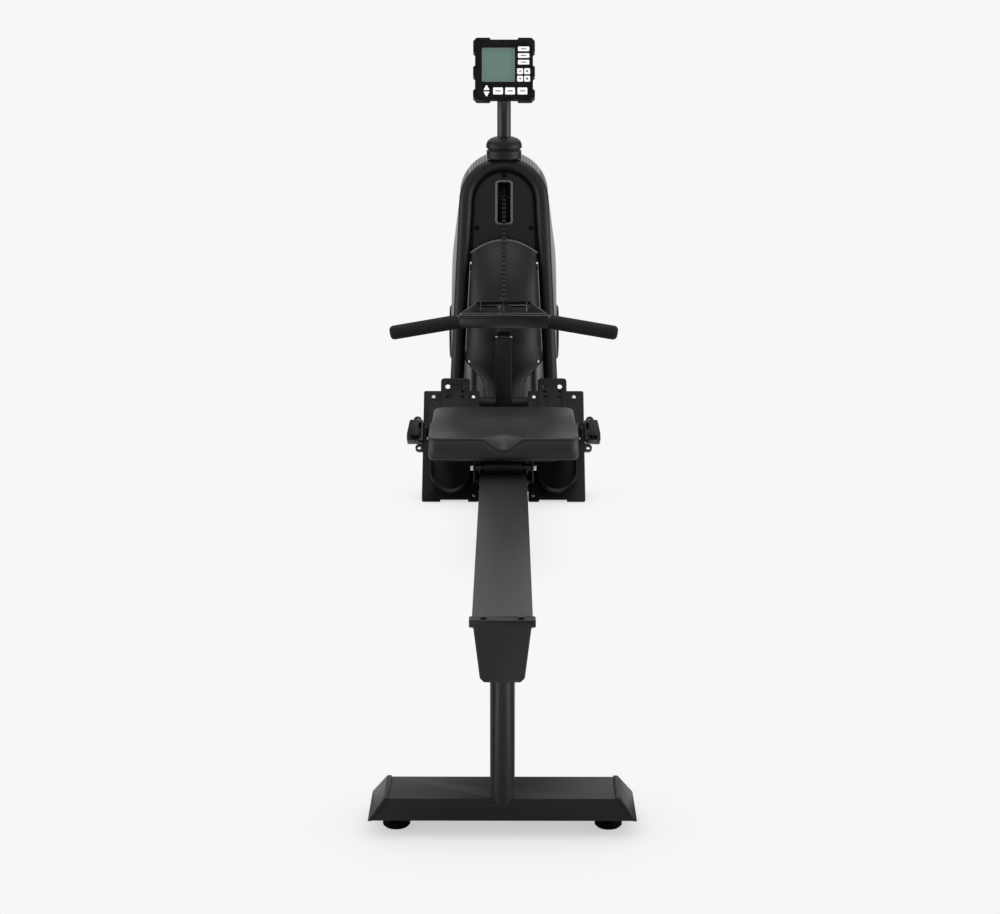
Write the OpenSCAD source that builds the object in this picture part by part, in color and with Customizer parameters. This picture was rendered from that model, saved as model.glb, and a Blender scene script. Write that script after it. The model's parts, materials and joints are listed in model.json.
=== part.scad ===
// Air rowing machine: a monorail with a sliding seat, a fan flywheel in a
// housing, a chain-pulled handle, two foot rests and a display on a mast.
// The rail runs along Y, the fan is at +Y, and Z is up. The origin is on the
// floor, under the middle of the machine.

/* [Rail] */
// Height of the running surface above the floor
rail_top = 398.5; // [380:0.5:420]
// Width of the running flange
rail_width = 100; // [96:1:106]
// Height of the rail section
rail_height = 104; // [96:1:112]
// Width of the rail at its underside
rail_sole = 72; // [64:1:80]
// Thickness of the running flange
rail_flange = 8; // [6:0.5:10]
// Wall of the rail extrusion
rail_wall = 3.5; // [2.5:0.5:5]
// Length of the rail from its end cap to the main frame
rail_length = 1290; // [1270:1:1310]

/* [Rail end cap] */
// Length of the cap along the rail
cap_length = 24; // [18:1:30]
// Width of the cap across its two ears
cap_width = 109; // [104:1:116]
// Height of the ears
ear_height = 13; // [10:1:18]
// How far the cap stands above the running surface
cap_proud = 3; // [2:0.5:5]

/* [Feet] */
// Length of a foot bar along its bottom edge
foot_length = 458; // [420:1:500]
// Depth of a foot bar at its bottom
foot_depth = 123; // [110:1:136]
// Depth of a foot bar at its top
foot_top_depth = 95; // [84:1:104]
// Height of a foot bar's section
foot_height = 34; // [30:1:40]
// Gap between the floor and a foot bar
foot_clear = 31; // [26:1:36]
// How far each end of a foot bar slants inwards at its top
foot_mitre = 26; // [16:1:34]
// Wall of the foot bars
foot_wall = 2.5; // [2:0.5:4]
// Thickness of the plastic end caps
foot_cap = 9; // [6:1:14]
// How far the caps stand proud of the bars
foot_lip = 2.5; // [1:0.5:4]
// Distance from the rail's end to the middle of the rear foot
rear_foot_y = 107; // [104:1:112]
// Distance from the rail's front end to the middle of the front foot
front_foot_ahead = 1050; // [1020:1:1090]
// Distance from the machine's middle to a levelling foot
leveller_x = 182; // [160:1:190]
// Distance of the levelling feet behind the middle of their bar
leveller_back = 8; // [0:1:12]
// Diameter of a levelling foot's pad
leveller_d = 47; // [40:1:56]
// Diameter of the rear leg's tube
leg_d = 42; // [38:1:48]
// Distance from the rail's end to the rear leg's axis
leg_y = 75; // [72:1:80]
// Diameter of the transport wheels
wheel_d = 62; // [54:1:66]
// Width of the transport wheels
wheel_w = 22; // [18:1:28]
// Diameter of the transport wheels' axles
wheel_axle_d = 10; // [8:1:14]

/* [Seat] */
// Distance from the seat pad's front edge to the rail's front end
seat_back = 71; // [68:1:80]
// Length of the seat pad along the rail
seat_depth = 266; // [250:1:268]
// Width of the seat pad at its rear
seat_width = 317; // [300:1:330]
// Width of the seat pad at its front
seat_front_width = 309; // [290:1:314]
// Height of the seat pad's rear edge
seat_rear_height = 49; // [44:1:54]
// Height of the seat pad's front edge
seat_front_height = 63; // [56:1:68]
// Depth of the notch in the middle of the rear edge
seat_notch = 24; // [12:1:30]
// Gap between the running surface and the underside of the pad
seat_gap = 40; // [38:0.5:44]
// Thickness of the seat's base plate
seat_plate = 5; // [4:0.5:7]

/* [Carriage] */
// How far the carriage side plates end inside the pad's ends
carriage_inset = 22; // [18:1:28]
// Distance between the outer faces of the side plates
carriage_width = 128; // [124:1:130]
// Thickness of the side plates
carriage_sheet = 3; // [2:0.5:4]
// Diameter of the rollers
roller_d = 32; // [28:1:36]
// Length of the rollers
roller_length = 82; // [74:1:88]
// Diameter of the roller axles
roller_axle_d = 10; // [8:1:12]
// Distance from a side plate's end to the roller axle
roller_inset = 21; // [19:1:26]

/* [Foot rests] */
// Width of each foot plate
plate_width = 127; // [118:1:134]
// Length of each foot plate
plate_length = 272; // [256:1:284]
// Distance from the middle to a foot plate's inner edge
plate_inner = 55; // [54:0.5:60]
// Thickness of a foot plate
plate_sheet = 4; // [3:0.5:5]
// Height of a foot plate's lower edge under the running surface
heel_drop = 100; // [94:1:106]
// Distance from a foot plate's lower edge to the rail's front end
heel_back = 134; // [126:1:138]
// Lean of the foot plates away from upright, in degrees
plate_lean = 38.3; // [37:0.1:40]
// Width of the sliding tab
tab_width = 66; // [56:1:74]
// Reach of the tab above the foot plate
tab_reach = 31; // [26:1:36]
// Thickness of the tab
tab_sheet = 3; // [2:0.5:4]
// Inner width of the heel cup
cup_width = 84; // [78:1:86]
// Height of the heel cup's wall
cup_height = 34; // [28:1:36]
// Wall of the heel cup
cup_wall = 3; // [2:0.5:4]
// Distance of the strap from the foot plate's lower edge
strap_at = 166; // [158:1:172]
// Width of the foot strap
strap_width = 32; // [26:1:38]
// Thickness of the foot strap
strap_sheet = 2; // [1.5:0.5:3]
// How high the strap arches over the plate
strap_rise = 26; // [20:1:28]

/* [Main frame] */
// Width of the main beam
beam_width = 60; // [50:1:70]
// Height of the main beam
beam_height = 80; // [70:1:90]
// Height of the main beam's axis under the fan
beam_low = 190; // [184:1:196]
// Wall of the main beam and the handle post
beam_wall = 3; // [2.5:0.5:4]
// Width of the handle post
post_width = 37; // [34:1:40]
// Depth of the handle post
post_depth = 56; // [50:1:64]
// Height of the handle post's top above the running surface
post_rise = 240; // [232:1:246]
// Distance from the rail's front end to the handle post's axis
post_ahead = 50; // [46:1:54]

/* [Arch] */
// Diameter of the arch tube
arch_d = 32; // [28:1:35]
// Radius of the arch's crown, to the tube's axis
arch_r = 89.5; // [86:0.5:92]
// Height of the crown's centre
arch_z = 922; // [916:1:928]
// Distance from the rail's front end to the arch's centre
arch_ahead = 260; // [256:1:264]
// Splay of each leg, in degrees
arch_splay = 2.8; // [2:0.1:3.4]
// Lean of the arch towards the fan, in degrees
arch_lean = 12.5; // [11:0.5:14]

/* [Mast and collar] */
// Diameter of the collar
collar_d = 84; // [78:1:92]
// Height of the collar
collar_height = 51; // [46:1:56]
// Diameter of the mast
mast_d = 32; // [28:1:35]
// Length of the mast's straight stretch above the collar
mast_straight = 39.7; // [36:1:60]
// Radius of the mast's bend
mast_bend_r = 260; // [220:1:300]
// Angle of the mast's bend, in degrees
mast_bend = 20; // [16:1:24]

/* [Console] */
// Width of the console
console_width = 142; // [132:1:150]
// Height of the console
console_height = 146; // [142:1:154]
// Depth of the console
console_depth = 30; // [26:1:36]
// Tilt of the screen, in degrees
console_tilt = 20; // [16:1:24]
// Travel of a key
key_travel = 1; // [0.6:0.1:1.4]

/* [Fan] */
// Height of the fan's axle
fan_z = 555; // [550:1:560]
// Distance from the rail's front end to the fan's axle
fan_ahead = 600; // [594:1:606]
// Radius of the fan
fan_r = 262; // [250:1:266]
// Width of the fan
fan_width = 64; // [56:1:66]
// Number of blades
fan_blades = 18; // [14:1:22]
// Diameter of the fan's axle
axle_d = 17; // [15:1:20]

/* [Housing] */
// Radius of the housing round the fan
housing_r = 310; // [304:1:316]
// Half the width of the housing at the fan
housing_half = 129; // [126:1:134]
// Radius of the housing's shoulder over the arch
crown_r = 150; // [144:1:156]
// Half the width of the housing's shoulder
crown_half = 106; // [103:1:110]
// Thickness of the housing's skins
skin = 3; // [2.5:0.5:4]
// Radius of the air inlet
inlet_r = 205; // [196:1:212]
// Radius of the hub cover
hub_cover_r = 70; // [64:1:76]
// Rows of holes across the perforated guard
guard_rows = 7; // [6:1:8]
// Rows of holes along the perforated guard
guard_steps = 27; // [24:1:30]

/* [Chain] */
// Pitch of the chain
chain_pitch = 12.7; // [12:0.1:13.4]
// Pitch radius of the idler pulley
idler_r = 28; // [25:1:31]
// Number of teeth of the drive sprocket
sprocket_teeth = 15; // [13:1:17]

/* [Handle] */
// Width of the handle's body
handle_width = 199; // [190:1:208]
// Height of the handle's body
handle_height = 29; // [26:1:32]
// Depth of the handle's body
handle_depth = 30; // [27:1:33]
// Diameter of the grips
grip_d = 32; // [29:1:35]
// Span of the handle over both grips
handle_span = 514; // [500:1:526]
// Droop of the grips, in degrees
grip_droop = 9.8; // [7:0.1:12]
// Reach of the web from the body to the chain
web_reach = 55; // [50:1:60]

/* [Hidden] */

// Colours of the finishes
black_paint = "#232425";
black_plastic = "#2a2b2c";
soft_black = "#1c1c1d";
seat_grey = "#454646";
bright_steel = "#b9bbbd";
guard_grey = "#9b9d9e";
key_white = "#eceded";
screen_green = "#67807a";

// Clearances
running = 0.05;
free_gap = 0.3;
slide_gap = 0.5;

// Places along the rail's line, which follow its front end
seat_y = rail_length - seat_back - seat_depth;
heel_y = rail_length - heel_back;
post_y = rail_length + post_ahead;
arch_y = rail_length + arch_ahead;
fan_y = rail_length + fan_ahead;
front_foot_y = rail_length + front_foot_ahead;

// The rail
rail_sole_z = rail_top - rail_height;
rail_flank_top = rail_width / 2 - 5;

// Feet
foot_top = foot_clear + foot_height;
pad_height = 12;
stem_d = 12;
wheel_y = front_foot_y + foot_depth / 2 + wheel_d / 2 + 2;
machine_front = wheel_y + wheel_d / 2;
middle_y = machine_front / 2;

// Seat and carriage
pad_z = rail_top + seat_gap;
roller_z = rail_top + free_gap + roller_d / 2;
carriage_y = seat_y + carriage_inset;
carriage_length = seat_depth - 2 * carriage_inset;
keeper_arch_d = 60;
keeper_z = rail_top - rail_flange - slide_gap;

// Foot plates
heel_z = rail_top - heel_drop;
plate_middle = plate_inner + plate_width / 2;

// Main frame
frame_y = rail_length;
frame_z = rail_top - rail_height / 2;
post_top = rail_top + post_rise;
beam_turn_y = arch_y - 50;
beam_drop_y = arch_y + 90;
frame_flange = 8;

// Arch, collar and mast
crown_top = arch_z + (arch_r + arch_d / 2) * cos(arch_lean);
crown_y = arch_y + (arch_r + arch_d / 2) * sin(arch_lean);
collar_z = crown_top - 4;
mast_y = crown_y;
mast_bend_z = collar_z + collar_height + mast_straight;

// Wheels
wheel_x = 120;
wheel_z = wheel_d / 2 + 4;

// Foot frame, cup and buckle
low_bar_at = 60;
high_bar_at = plate_length - 22;
bar_reach = plate_middle + 40 - post_width / 2;
cup_x = plate_middle;
cup_at = 57;
tab_shift = -8;
buckle_x = plate_inner + plate_width;
buckle_w = 36;
buckle_h = 22;
buckle_l = 50;
buckle_back = 4;
buckle_pin_x = 18;
buckle_pin_d = 6;
buckle_pin_drop = 12;

// Members of the main frame
cross_depth = 40;
cross_height = 36;
cross_top = frame_z - 24;
arch_drop = (arch_z - cross_top) / cos(arch_lean);
arch_foot_x = arch_r + arch_drop * tan(arch_splay);
arch_foot_y = arch_y - arch_drop * sin(arch_lean);
fork_x = 86;
fork_sheet = 6;
fork_foot_y = fan_y - 150;
fork_foot_half = 60;

// Inner face of the inlet grilles, which the frame's stand-offs carry
grille_t = 4;
grille_x = housing_half - skin - grille_t;

// Console
console_back = 14;
mast_end_y = mast_y - mast_bend_r * (1 - cos(mast_bend));
mast_end_z = mast_bend_z + mast_bend_r * sin(mast_bend);

// Housing: centres of its crown and of its chin
crown_cy = fan_y - 200;
crown_cz = fan_z + 325;
chin_y = fan_y - 380;
chin_z = fan_z - 104;
chin_r = 62;
chin_half = 96;

// Chain line, from the handle over the idler to the sprocket
handle_y = post_y - post_depth / 2 - 18;
handle_z = post_top + 28;
web_tilt = 17;
web_t = 4;
web_half = 62;
rim = 9;
web_end = [handle_y + handle_depth / 2, handle_z + handle_height - web_t]
    + web_reach * [cos(web_tilt), sin(web_tilt)] + rim / 2 * [-sin(web_tilt), cos(web_tilt)];
hook_gap = 14;
hook = web_end + hook_gap * [cos(web_tilt), sin(web_tilt)];
idler_y = arch_y + 90;
idler_z = arch_z + 28;

function polar(a) = [cos(a), sin(a)];
function mix(a, b, t) = a * (1 - t) + b * t;
function smooth(t) = let(u = min(1, max(0, t))) u * u * (3 - 2 * u);

// Faces between rings of n points each, stacked from the bottom up
function side_faces(rings, n) = [for (r = [0 : rings - 2]) for (i = [0 : n - 1])
    let(j = (i + 1) % n, k = (r + 1) * n)
    each [[r * n + i, k + i, k + j], [r * n + i, k + j, r * n + j]]
];

// A closed solid over stacked rings, with a fan of faces at each end
module stacked(rings) {
    n = len(rings[0]);
    m = len(rings);
    middle = [for (r = [rings[0], rings[m - 1]]) let(s = [for (p = r) 1] * r) s / n];
    polyhedron(
        points = concat([for (r = rings) each r], middle),
        faces = concat(
            side_faces(m, n),
            [for (i = [0 : n - 1]) [m * n, i, (i + 1) % n]],
            [for (i = [0 : n - 1]) [m * n + 1, (m - 1) * n + (i + 1) % n, (m - 1) * n + i]]
        )
    );
}

// A closed loop of sections, joined end to end like a tyre
module looped(sections) {
    n = len(sections[0]);
    m = len(sections);
    polyhedron(
        points = [for (s = sections) each s],
        faces = [for (r = [0 : m - 1]) for (i = [0 : n - 1])
            let(j = (i + 1) % n, q = r * n, k = ((r + 1) % m) * n)
            each [[q + i, q + j, k + j], [q + i, k + j, k + i]]
        ]
    );
}

// Moves a piece from the rail's own frame to the middle of the machine
module in_place() {
    translate([0, -middle_y, 0]) children();
}

module both_sides() {
    children();
    mirror([1, 0, 0]) children();
}

// A bar along X
module cross_bar(d, length, $fn = 48) {
    rotate([0, 90, 0]) cylinder(d = d, h = length, center = true);
}

// A profile in the Y-Z plane, extruded across X about the middle
module across(width) {
    rotate([90, 0, 90]) linear_extrude(width, center = true) children();
}

// Foot plate frame: X to the right, -Y out of the plate, Z up along it
module on_plate() {
    in_place() translate([0, heel_y, heel_z]) rotate([-plate_lean, 0, 0]) children();
}

module rounded_rect(size, r) {
    hx = size[0] / 2 - r;
    hy = size[1] / 2 - r;
    square([size[0], size[1] - 2 * r], center = true);
    square([size[0] - 2 * r, size[1]], center = true);
    for (x = [-hx, hx]) for (y = [-hy, hy])
        translate([x, y]) circle(r = r, $fn = 24);
}

module rail_outline(inset = 0) {
    flange = rail_flange - inset;
    polygon([
        [-rail_width / 2 + inset, rail_top - inset],
        [-rail_width / 2 + inset, rail_top - flange],
        [-rail_flank_top + inset, rail_top - flange],
        [-rail_sole / 2 + inset, rail_sole_z + inset],
        [rail_sole / 2 - inset, rail_sole_z + inset],
        [rail_flank_top - inset, rail_top - flange],
        [rail_width / 2 - inset, rail_top - flange],
        [rail_width / 2 - inset, rail_top - inset]
    ]);
}

module rail() {
    color(black_paint) in_place() {
        rotate([-90, 0, 0]) mirror([0, 1, 0]) translate([0, 0, cap_length])
            linear_extrude(rail_length - cap_length) difference() {
                rail_outline();
                rail_outline(rail_wall);
            }
    }
}

// A plug with ears that stop the carriage, and a skirt over the rail's end
module rail_end_cap() {
    ear_top = rail_top + cap_proud;
    skirt = 2.5;
    color(black_plastic) in_place() {
        translate([-cap_width / 2, 0, ear_top - ear_height])
            cube([cap_width, cap_length, ear_height]);
        rotate([-90, 0, 0]) mirror([0, 1, 0]) linear_extrude(cap_length) polygon([
            [-rail_flank_top - skirt, ear_top - ear_height],
            [-rail_sole / 2 - 1, rail_sole_z + 7],
            [-rail_sole / 2 + 6, rail_sole_z],
            [rail_sole / 2 - 6, rail_sole_z],
            [rail_sole / 2 + 1, rail_sole_z + 7],
            [rail_flank_top + skirt, ear_top - ear_height]
        ]);
    }
}

// Rubber block that the carriage meets at its foremost place
module seat_stop() {
    color(soft_black) in_place()
        translate([-34, carriage_y + carriage_length + free_gap, rail_top])
            cube([68, 16, 22]);
}

// Foot bars

module foot_section(inset = 0) {
    polygon([
        [-foot_depth / 2 + inset, inset],
        [-foot_top_depth / 2 + inset, foot_height - inset],
        [foot_top_depth / 2 - inset, foot_height - inset],
        [foot_depth / 2 - inset, inset]
    ]);
}

// The bar's ends slant inwards towards its top; grow lengthens it at each end
module foot_solid(inset = 0, grow = 0) {
    half = foot_length / 2 + grow;
    intersection() {
        across(foot_length + 2 * grow) foot_section(inset);
        rotate([90, 0, 0]) linear_extrude(foot_depth + 10, center = true) polygon([
            [-half, -1], [-half + foot_mitre * (foot_height + 4) / foot_height, foot_height + 3],
            [half - foot_mitre * (foot_height + 4) / foot_height, foot_height + 3], [half, -1]
        ]);
    }
}

module foot_bar() {
    difference() {
        foot_solid(0, -foot_cap);
        across(foot_length + 10) foot_section(foot_wall);
        both_sides() translate([leveller_x, -leveller_back, -1]) cylinder(d = stem_d, h = foot_wall + 2, $fn = 32);
    }
}

module foot_bar_cap() {
    difference() {
        foot_solid(-foot_lip);
        foot_solid(-5, -foot_cap);
    }
}

module levelling_foot() {
    translate([leveller_x, -leveller_back, 0]) {
        cylinder(d = leveller_d - 6, h = 3, $fn = 48);
        translate([0, 0, 3]) cylinder(d = leveller_d, h = pad_height - 3, $fn = 48);
        translate([0, 0, pad_height]) cylinder(d1 = 26, d2 = 20, h = 4, $fn = 48);
        cylinder(d = stem_d, h = foot_clear + 16, $fn = 32);
        translate([0, 0, foot_clear - 6]) cylinder(d = 20, h = 6, $fn = 6);
    }
}

module rear_foot() {
    color(black_paint) in_place() {
        translate([0, rear_foot_y, foot_clear]) foot_bar();
        difference() {
            translate([0, leg_y, foot_clear + 4])
                cylinder(d = leg_d, h = rail_sole_z - foot_clear - 4 - 5, $fn = 64);
            translate([0, rear_foot_y, foot_clear]) across(leg_d * 2) foot_section();
        }
        translate([-rail_sole / 2 + 6, leg_y - 34, rail_sole_z - 5])
            cube([rail_sole - 12, 90, 5]);
    }
}

module front_foot() {
    lug_y = foot_depth / 2 - 6;
    color(black_paint) in_place() translate([0, front_foot_y, foot_clear]) {
        foot_bar();
        both_sides() for (x = [wheel_x - wheel_w / 2 - 8, wheel_x + wheel_w / 2 + 2])
            translate([x, 0, 0]) rotate([90, 0, 90]) linear_extrude(6) difference() {
                polygon([
                    [foot_top_depth / 2 - 1, foot_height - 1], [foot_depth / 2 - 1, 2],
                    [wheel_y - front_foot_y - 4, wheel_z - foot_clear - 12],
                    [wheel_y - front_foot_y + 10, wheel_z - foot_clear - 5],
                    [wheel_y - front_foot_y + 10, wheel_z - foot_clear + 8],
                    [wheel_y - front_foot_y - 4, wheel_z - foot_clear + 12]
                ]);
            }
        both_sides() translate([wheel_x, wheel_y - front_foot_y, wheel_z - foot_clear])
            cross_bar(wheel_axle_d, wheel_w + 16);
    }
}

module foot_bar_caps() {
    color(black_plastic) in_place() for (y = [rear_foot_y, front_foot_y])
        translate([0, y, foot_clear]) foot_bar_cap();
}

module levelling_feet() {
    color(soft_black) in_place() for (y = [rear_foot_y, front_foot_y])
        both_sides() translate([0, y, 0]) levelling_foot();
}

module transport_wheel() {
    rotate([0, 90, 0]) rotate_extrude($fn = 64) polygon([
        [wheel_axle_d / 2 + running, -wheel_w / 2], [wheel_d / 2 - 4, -wheel_w / 2],
        [wheel_d / 2, -wheel_w / 2 + 4], [wheel_d / 2, wheel_w / 2 - 4],
        [wheel_d / 2 - 4, wheel_w / 2], [wheel_axle_d / 2 + running, wheel_w / 2]
    ]);
}

module transport_wheel_left() {
    color(soft_black) in_place() translate([-wheel_x, wheel_y, wheel_z]) transport_wheel();
}

module transport_wheel_right() {
    color(soft_black) in_place() translate([wheel_x, wheel_y, wheel_z]) transport_wheel();
}

// Main frame

// Points of a line moved sideways by d, with mitred corners
function moved_line(p, d) = [for (i = [0 : len(p) - 1])
    let(
        a = p[max(0, i - 1)],
        b = p[min(len(p) - 1, i + 1)],
        u = (p[i] - a) / max(0.001, norm(p[i] - a)),
        v = (b - p[i]) / max(0.001, norm(b - p[i])),
        t = i == 0 ? v : (i == len(p) - 1 ? u : (u + v) / norm(u + v)),
        c = i == 0 || i == len(p) - 1 ? 1 : t * v
    )
    p[i] + [-t[1], t[0]] * d / c
];

function reversed(p) = [for (i = [len(p) - 1 : -1 : 0]) p[i]];

module band(p, half) {
    polygon(concat(moved_line(p, half), reversed(moved_line(p, -half))));
}

beam_line = [
    [frame_y + frame_flange, frame_z], [beam_turn_y, frame_z],
    [beam_drop_y, beam_low], [front_foot_y + beam_width / 2, beam_low]
];

module main_frame() {
    color(black_paint) in_place() {
        translate([-rail_width / 2, frame_y, rail_sole_z])
            cube([rail_width, frame_flange, rail_height]);
        difference() {
            union() {
                across(beam_width) band(beam_line, beam_height / 2);
                translate([-beam_width / 2, front_foot_y - beam_width / 2, foot_top])
                    cube([beam_width, beam_width, beam_low - foot_top]);
            }
            across(beam_width - 2 * beam_wall)
                band(beam_line, beam_height / 2 - beam_wall);
            translate([-beam_width / 2 + beam_wall, front_foot_y - beam_width / 2 + beam_wall, 0])
                cube([beam_width - 2 * beam_wall, beam_width - 2 * beam_wall, beam_low]);
        }
        arch_cross();
        both_sides() fork_plate();
    }
}

// The cross member that the arch's legs stand on
module arch_cross() {
    half = arch_foot_x + arch_d / 2 + 6;
    translate([0, arch_foot_y - cross_depth / 2, cross_top - cross_height]) difference() {
        translate([-half, 0, 0]) cube([2 * half, cross_depth, cross_height]);
        both_sides() translate([beam_width / 2, beam_wall, beam_wall])
            cube([half, cross_depth - 2 * beam_wall, cross_height - 2 * beam_wall]);
    }
}

// The plate that carries the fan's axle on each side, with stand-offs for the housing
module fork_plate() {
    foot_z = beam_low + beam_height / 2;
    translate([fork_x, 0, 0]) rotate([90, 0, 90]) linear_extrude(fork_sheet) difference() {
        union() {
            translate([fan_y, fan_z]) circle(r = 30, $fn = 48);
            polygon([
                [fork_foot_y - fork_foot_half, foot_z - 12], [fork_foot_y + fork_foot_half, foot_z - 12],
                [fan_y + 29, fan_z - 8], [fan_y - 28, fan_z + 11]
            ]);
        }
        translate([fan_y, fan_z]) circle(d = axle_d, $fn = 48);
        translate([mix(fork_foot_y, fan_y, 0.45), mix(foot_z, fan_z, 0.45)]) circle(r = 22, $fn = 48);
    }
    translate([0, fork_foot_y - fork_foot_half, foot_z - 12])
        cube([fork_x + fork_sheet, 2 * fork_foot_half, 12]);
    for (a = [90, 210, 330]) translate([fork_x + fork_sheet, fan_y, fan_z] + 22 * [0, cos(a), sin(a)])
        rotate([0, 90, 0]) cylinder(d = 9, h = grille_x - fork_x - fork_sheet, $fn = 32);
}

module handle_post() {
    foot_z = frame_z + beam_height / 2;
    color(black_paint) in_place() difference() {
        translate([-post_width / 2, post_y - post_depth / 2, foot_z])
            cube([post_width, post_depth, post_top - foot_z]);
        translate([-post_width / 2 + beam_wall, post_y - post_depth / 2 + beam_wall, foot_z - 1])
            cube([post_width - 2 * beam_wall, post_depth - 2 * beam_wall, post_top - foot_z + 2]);
    }
}

// A cap on the post with a hook that holds the handle against the chain
module handle_cradle() {
    rest_z = handle_z - free_gap;
    hook_y0 = handle_y + handle_depth / 2 + free_gap;
    color(black_plastic) in_place() {
        translate([-post_width / 2 - 2, post_y - post_depth / 2 - 2, post_top])
            cube([post_width + 4, post_depth + 4, 6]);
        across(30) polygon([
            [post_y + post_depth / 2 - 6, post_top + 6], [post_y - post_depth / 2, post_top + 6],
            [handle_y - handle_depth / 2 + 4, rest_z - 8], [handle_y - handle_depth / 2 + 4, rest_z],
            [hook_y0, rest_z], [hook_y0, rest_z + 14], [hook_y0 + 8, rest_z + 14],
            [post_y, rest_z - 2]
        ]);
    }
}

// Foot rests

// Stub bars from the rail's flanks and from the handle post to the plates
module foot_frame() {
    bar_d = 25;
    color(black_paint) difference() {
        union() {
            on_plate() both_sides() for (s = [low_bar_at, high_bar_at])
                translate([0, bar_d / 2, s]) rotate([0, 90, 0])
                    translate([0, 0, post_width / 2]) cylinder(d = bar_d, h = bar_reach, $fn = 48);
            on_plate() both_sides() for (s = [low_bar_at, high_bar_at])
                translate([plate_middle - 26, 0, s - 18]) cube([52, bar_d / 2, 36]);
        }
        in_place() rotate([-90, 0, 0]) mirror([0, 1, 0])
            linear_extrude(rail_length) rail_outline();
    }
}

module plate_outline() {
    translate([plate_inner, 0]) difference() {
        union() {
            translate([4, -3]) square([plate_width - 8, plate_length + 3]);
            translate([0, 1]) square([plate_width, plate_length - 5]);
            for (x = [4, plate_width - 4]) for (y = [1, plate_length - 4])
                translate([x, y]) circle(r = 4, $fn = 24);
        }
        translate([24, -10]) square([62, 12]);
        for (p = [[14, plate_length - 16], [plate_width - 22, plate_length - 16], [10, 12]])
            translate(p) circle(r = 3.2, $fn = 24);
        for (x = [6, plate_width - 10])
            translate([x, strap_at - strap_width / 2 - 1]) square([4, strap_width + 2]);
    }
}

module foot_plates() {
    color(black_paint) on_plate() both_sides()
        rotate([90, 0, 0]) linear_extrude(plate_sheet) plate_outline();
}

// The strap's line in the plate's X-Y plane, from slot to slot over the foot
function strap_point(t) = [
    plate_middle - (plate_width / 2 - 8) * cos(180 * t),
    -plate_sheet - strap_rise * pow(sin(180 * t), 0.55)
];

strap_steps = 16;
strap_line = concat(
    [[plate_inner + 8, 2]],
    [for (i = [0 : strap_steps]) strap_point(i / strap_steps)],
    [[plate_inner + plate_width - 8, 2]]
);

module foot_straps() {
    color(soft_black) on_plate() both_sides()
        translate([0, 0, strap_at - strap_width / 2]) linear_extrude(strap_width)
            band(strap_line, strap_sheet / 2);
}

// The cam buckle's frame, on the outer edge of the plate, with a strap loop above
// it and the loop for the strap's end below
module buckle_outline() {
    l = buckle_l / 2;
    polygon([[0, -l], [buckle_w - 2, -l], [buckle_w, 3 - l], [buckle_w, -8], [buckle_w - 5, l - 4],
        [buckle_w - 8, l], [0, l]]);
}

module strap_loop(x, s, r) {
    translate([x, buckle_back, s]) rotate([90, 0, 0]) linear_extrude(9) difference() {
        union() {
            circle(r = r, $fn = 32);
            translate([-r, s > 0 ? -r - 3 : -r]) square([s > 0 ? 2 * r : r, s > 0 ? r + 3 : 2 * r]);
        }
        circle(r = r - 4, $fn = 24);
    }
}

module strap_buckles() {
    color(black_plastic) on_plate() both_sides() translate([buckle_x, 0, strap_at]) {
        difference() {
            translate([0, buckle_back, 0]) rotate([90, 0, 0]) linear_extrude(buckle_h) buckle_outline();
            translate([4, buckle_back - buckle_h - 1, 6 - buckle_l / 2])
                cube([buckle_w - 12, buckle_h - 3, buckle_l - 12]);
            translate([buckle_pin_x, -buckle_pin_drop, 0])
                cylinder(d = buckle_pin_d, h = buckle_l + 2, center = true, $fn = 32);
        }
        strap_loop(13, buckle_l / 2 + 7, 9);
        strap_loop(8.5, -buckle_l / 2 - 12, 8.5);
    }
}

module buckle_lever() {
    drum = buckle_l - 13;
    translate([buckle_x + buckle_pin_x, -buckle_pin_drop, strap_at]) {
        cylinder(d = buckle_pin_d - 2 * running, h = buckle_l - 1, center = true, $fn = 32);
        cylinder(d = 10, h = drum, center = true, $fn = 32);
        translate([-3, -18, -drum / 2]) cube([6, 18, drum]);
        translate([-9, -22, -drum / 2]) cube([20, 4, drum]);
    }
}

module buckle_lever_left() {
    color(soft_black) on_plate() mirror([1, 0, 0]) buckle_lever();
}

module buckle_lever_right() {
    color(soft_black) on_plate() buckle_lever();
}

// A tab with rows of holes, and a round cup for the heel
module heel_cup() {
    cup_r = cup_width / 2;
    tab_top = plate_length + tab_reach;
    translate([cup_x, -plate_sheet - free_gap, 0]) rotate([90, 0, 0]) {
        linear_extrude(tab_sheet) difference() {
            union() {
                translate([tab_shift - tab_width / 2, cup_at])
                    square([tab_width, tab_top - cup_at - 8]);
                translate([tab_shift - tab_width / 2 + 8, cup_at])
                    square([tab_width - 16, tab_top - cup_at]);
                for (x = [-1, 1]) translate([tab_shift + x * (tab_width / 2 - 8), tab_top - 8])
                    circle(r = 8, $fn = 32);
                translate([0, cup_at]) circle(r = cup_r + cup_wall, $fn = 64);
                translate([-cup_r - cup_wall, cup_at]) square([2 * cup_r + 2 * cup_wall, 44]);
            }
            for (row = [0 : 2]) for (x = [-17, 17])
                translate([tab_shift + x, tab_top - 21 - 13.5 * row])
                    circle(r = row == 0 && x > 0 ? 6 : 3.4, $fn = 32);
        }
        linear_extrude(cup_height) difference() {
            union() {
                translate([0, cup_at]) circle(r = cup_r + cup_wall, $fn = 64);
                translate([-cup_r - cup_wall, cup_at]) square([2 * cup_r + 2 * cup_wall, 44]);
            }
            translate([0, cup_at]) circle(r = cup_r, $fn = 64);
            translate([-cup_r, cup_at]) square([2 * cup_r, 60]);
        }
    }
}

module heel_cup_left() {
    color(soft_black) on_plate() mirror([1, 0, 0]) heel_cup();
}

module heel_cup_right() {
    color(soft_black) on_plate() heel_cup();
}

// Seat

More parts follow.
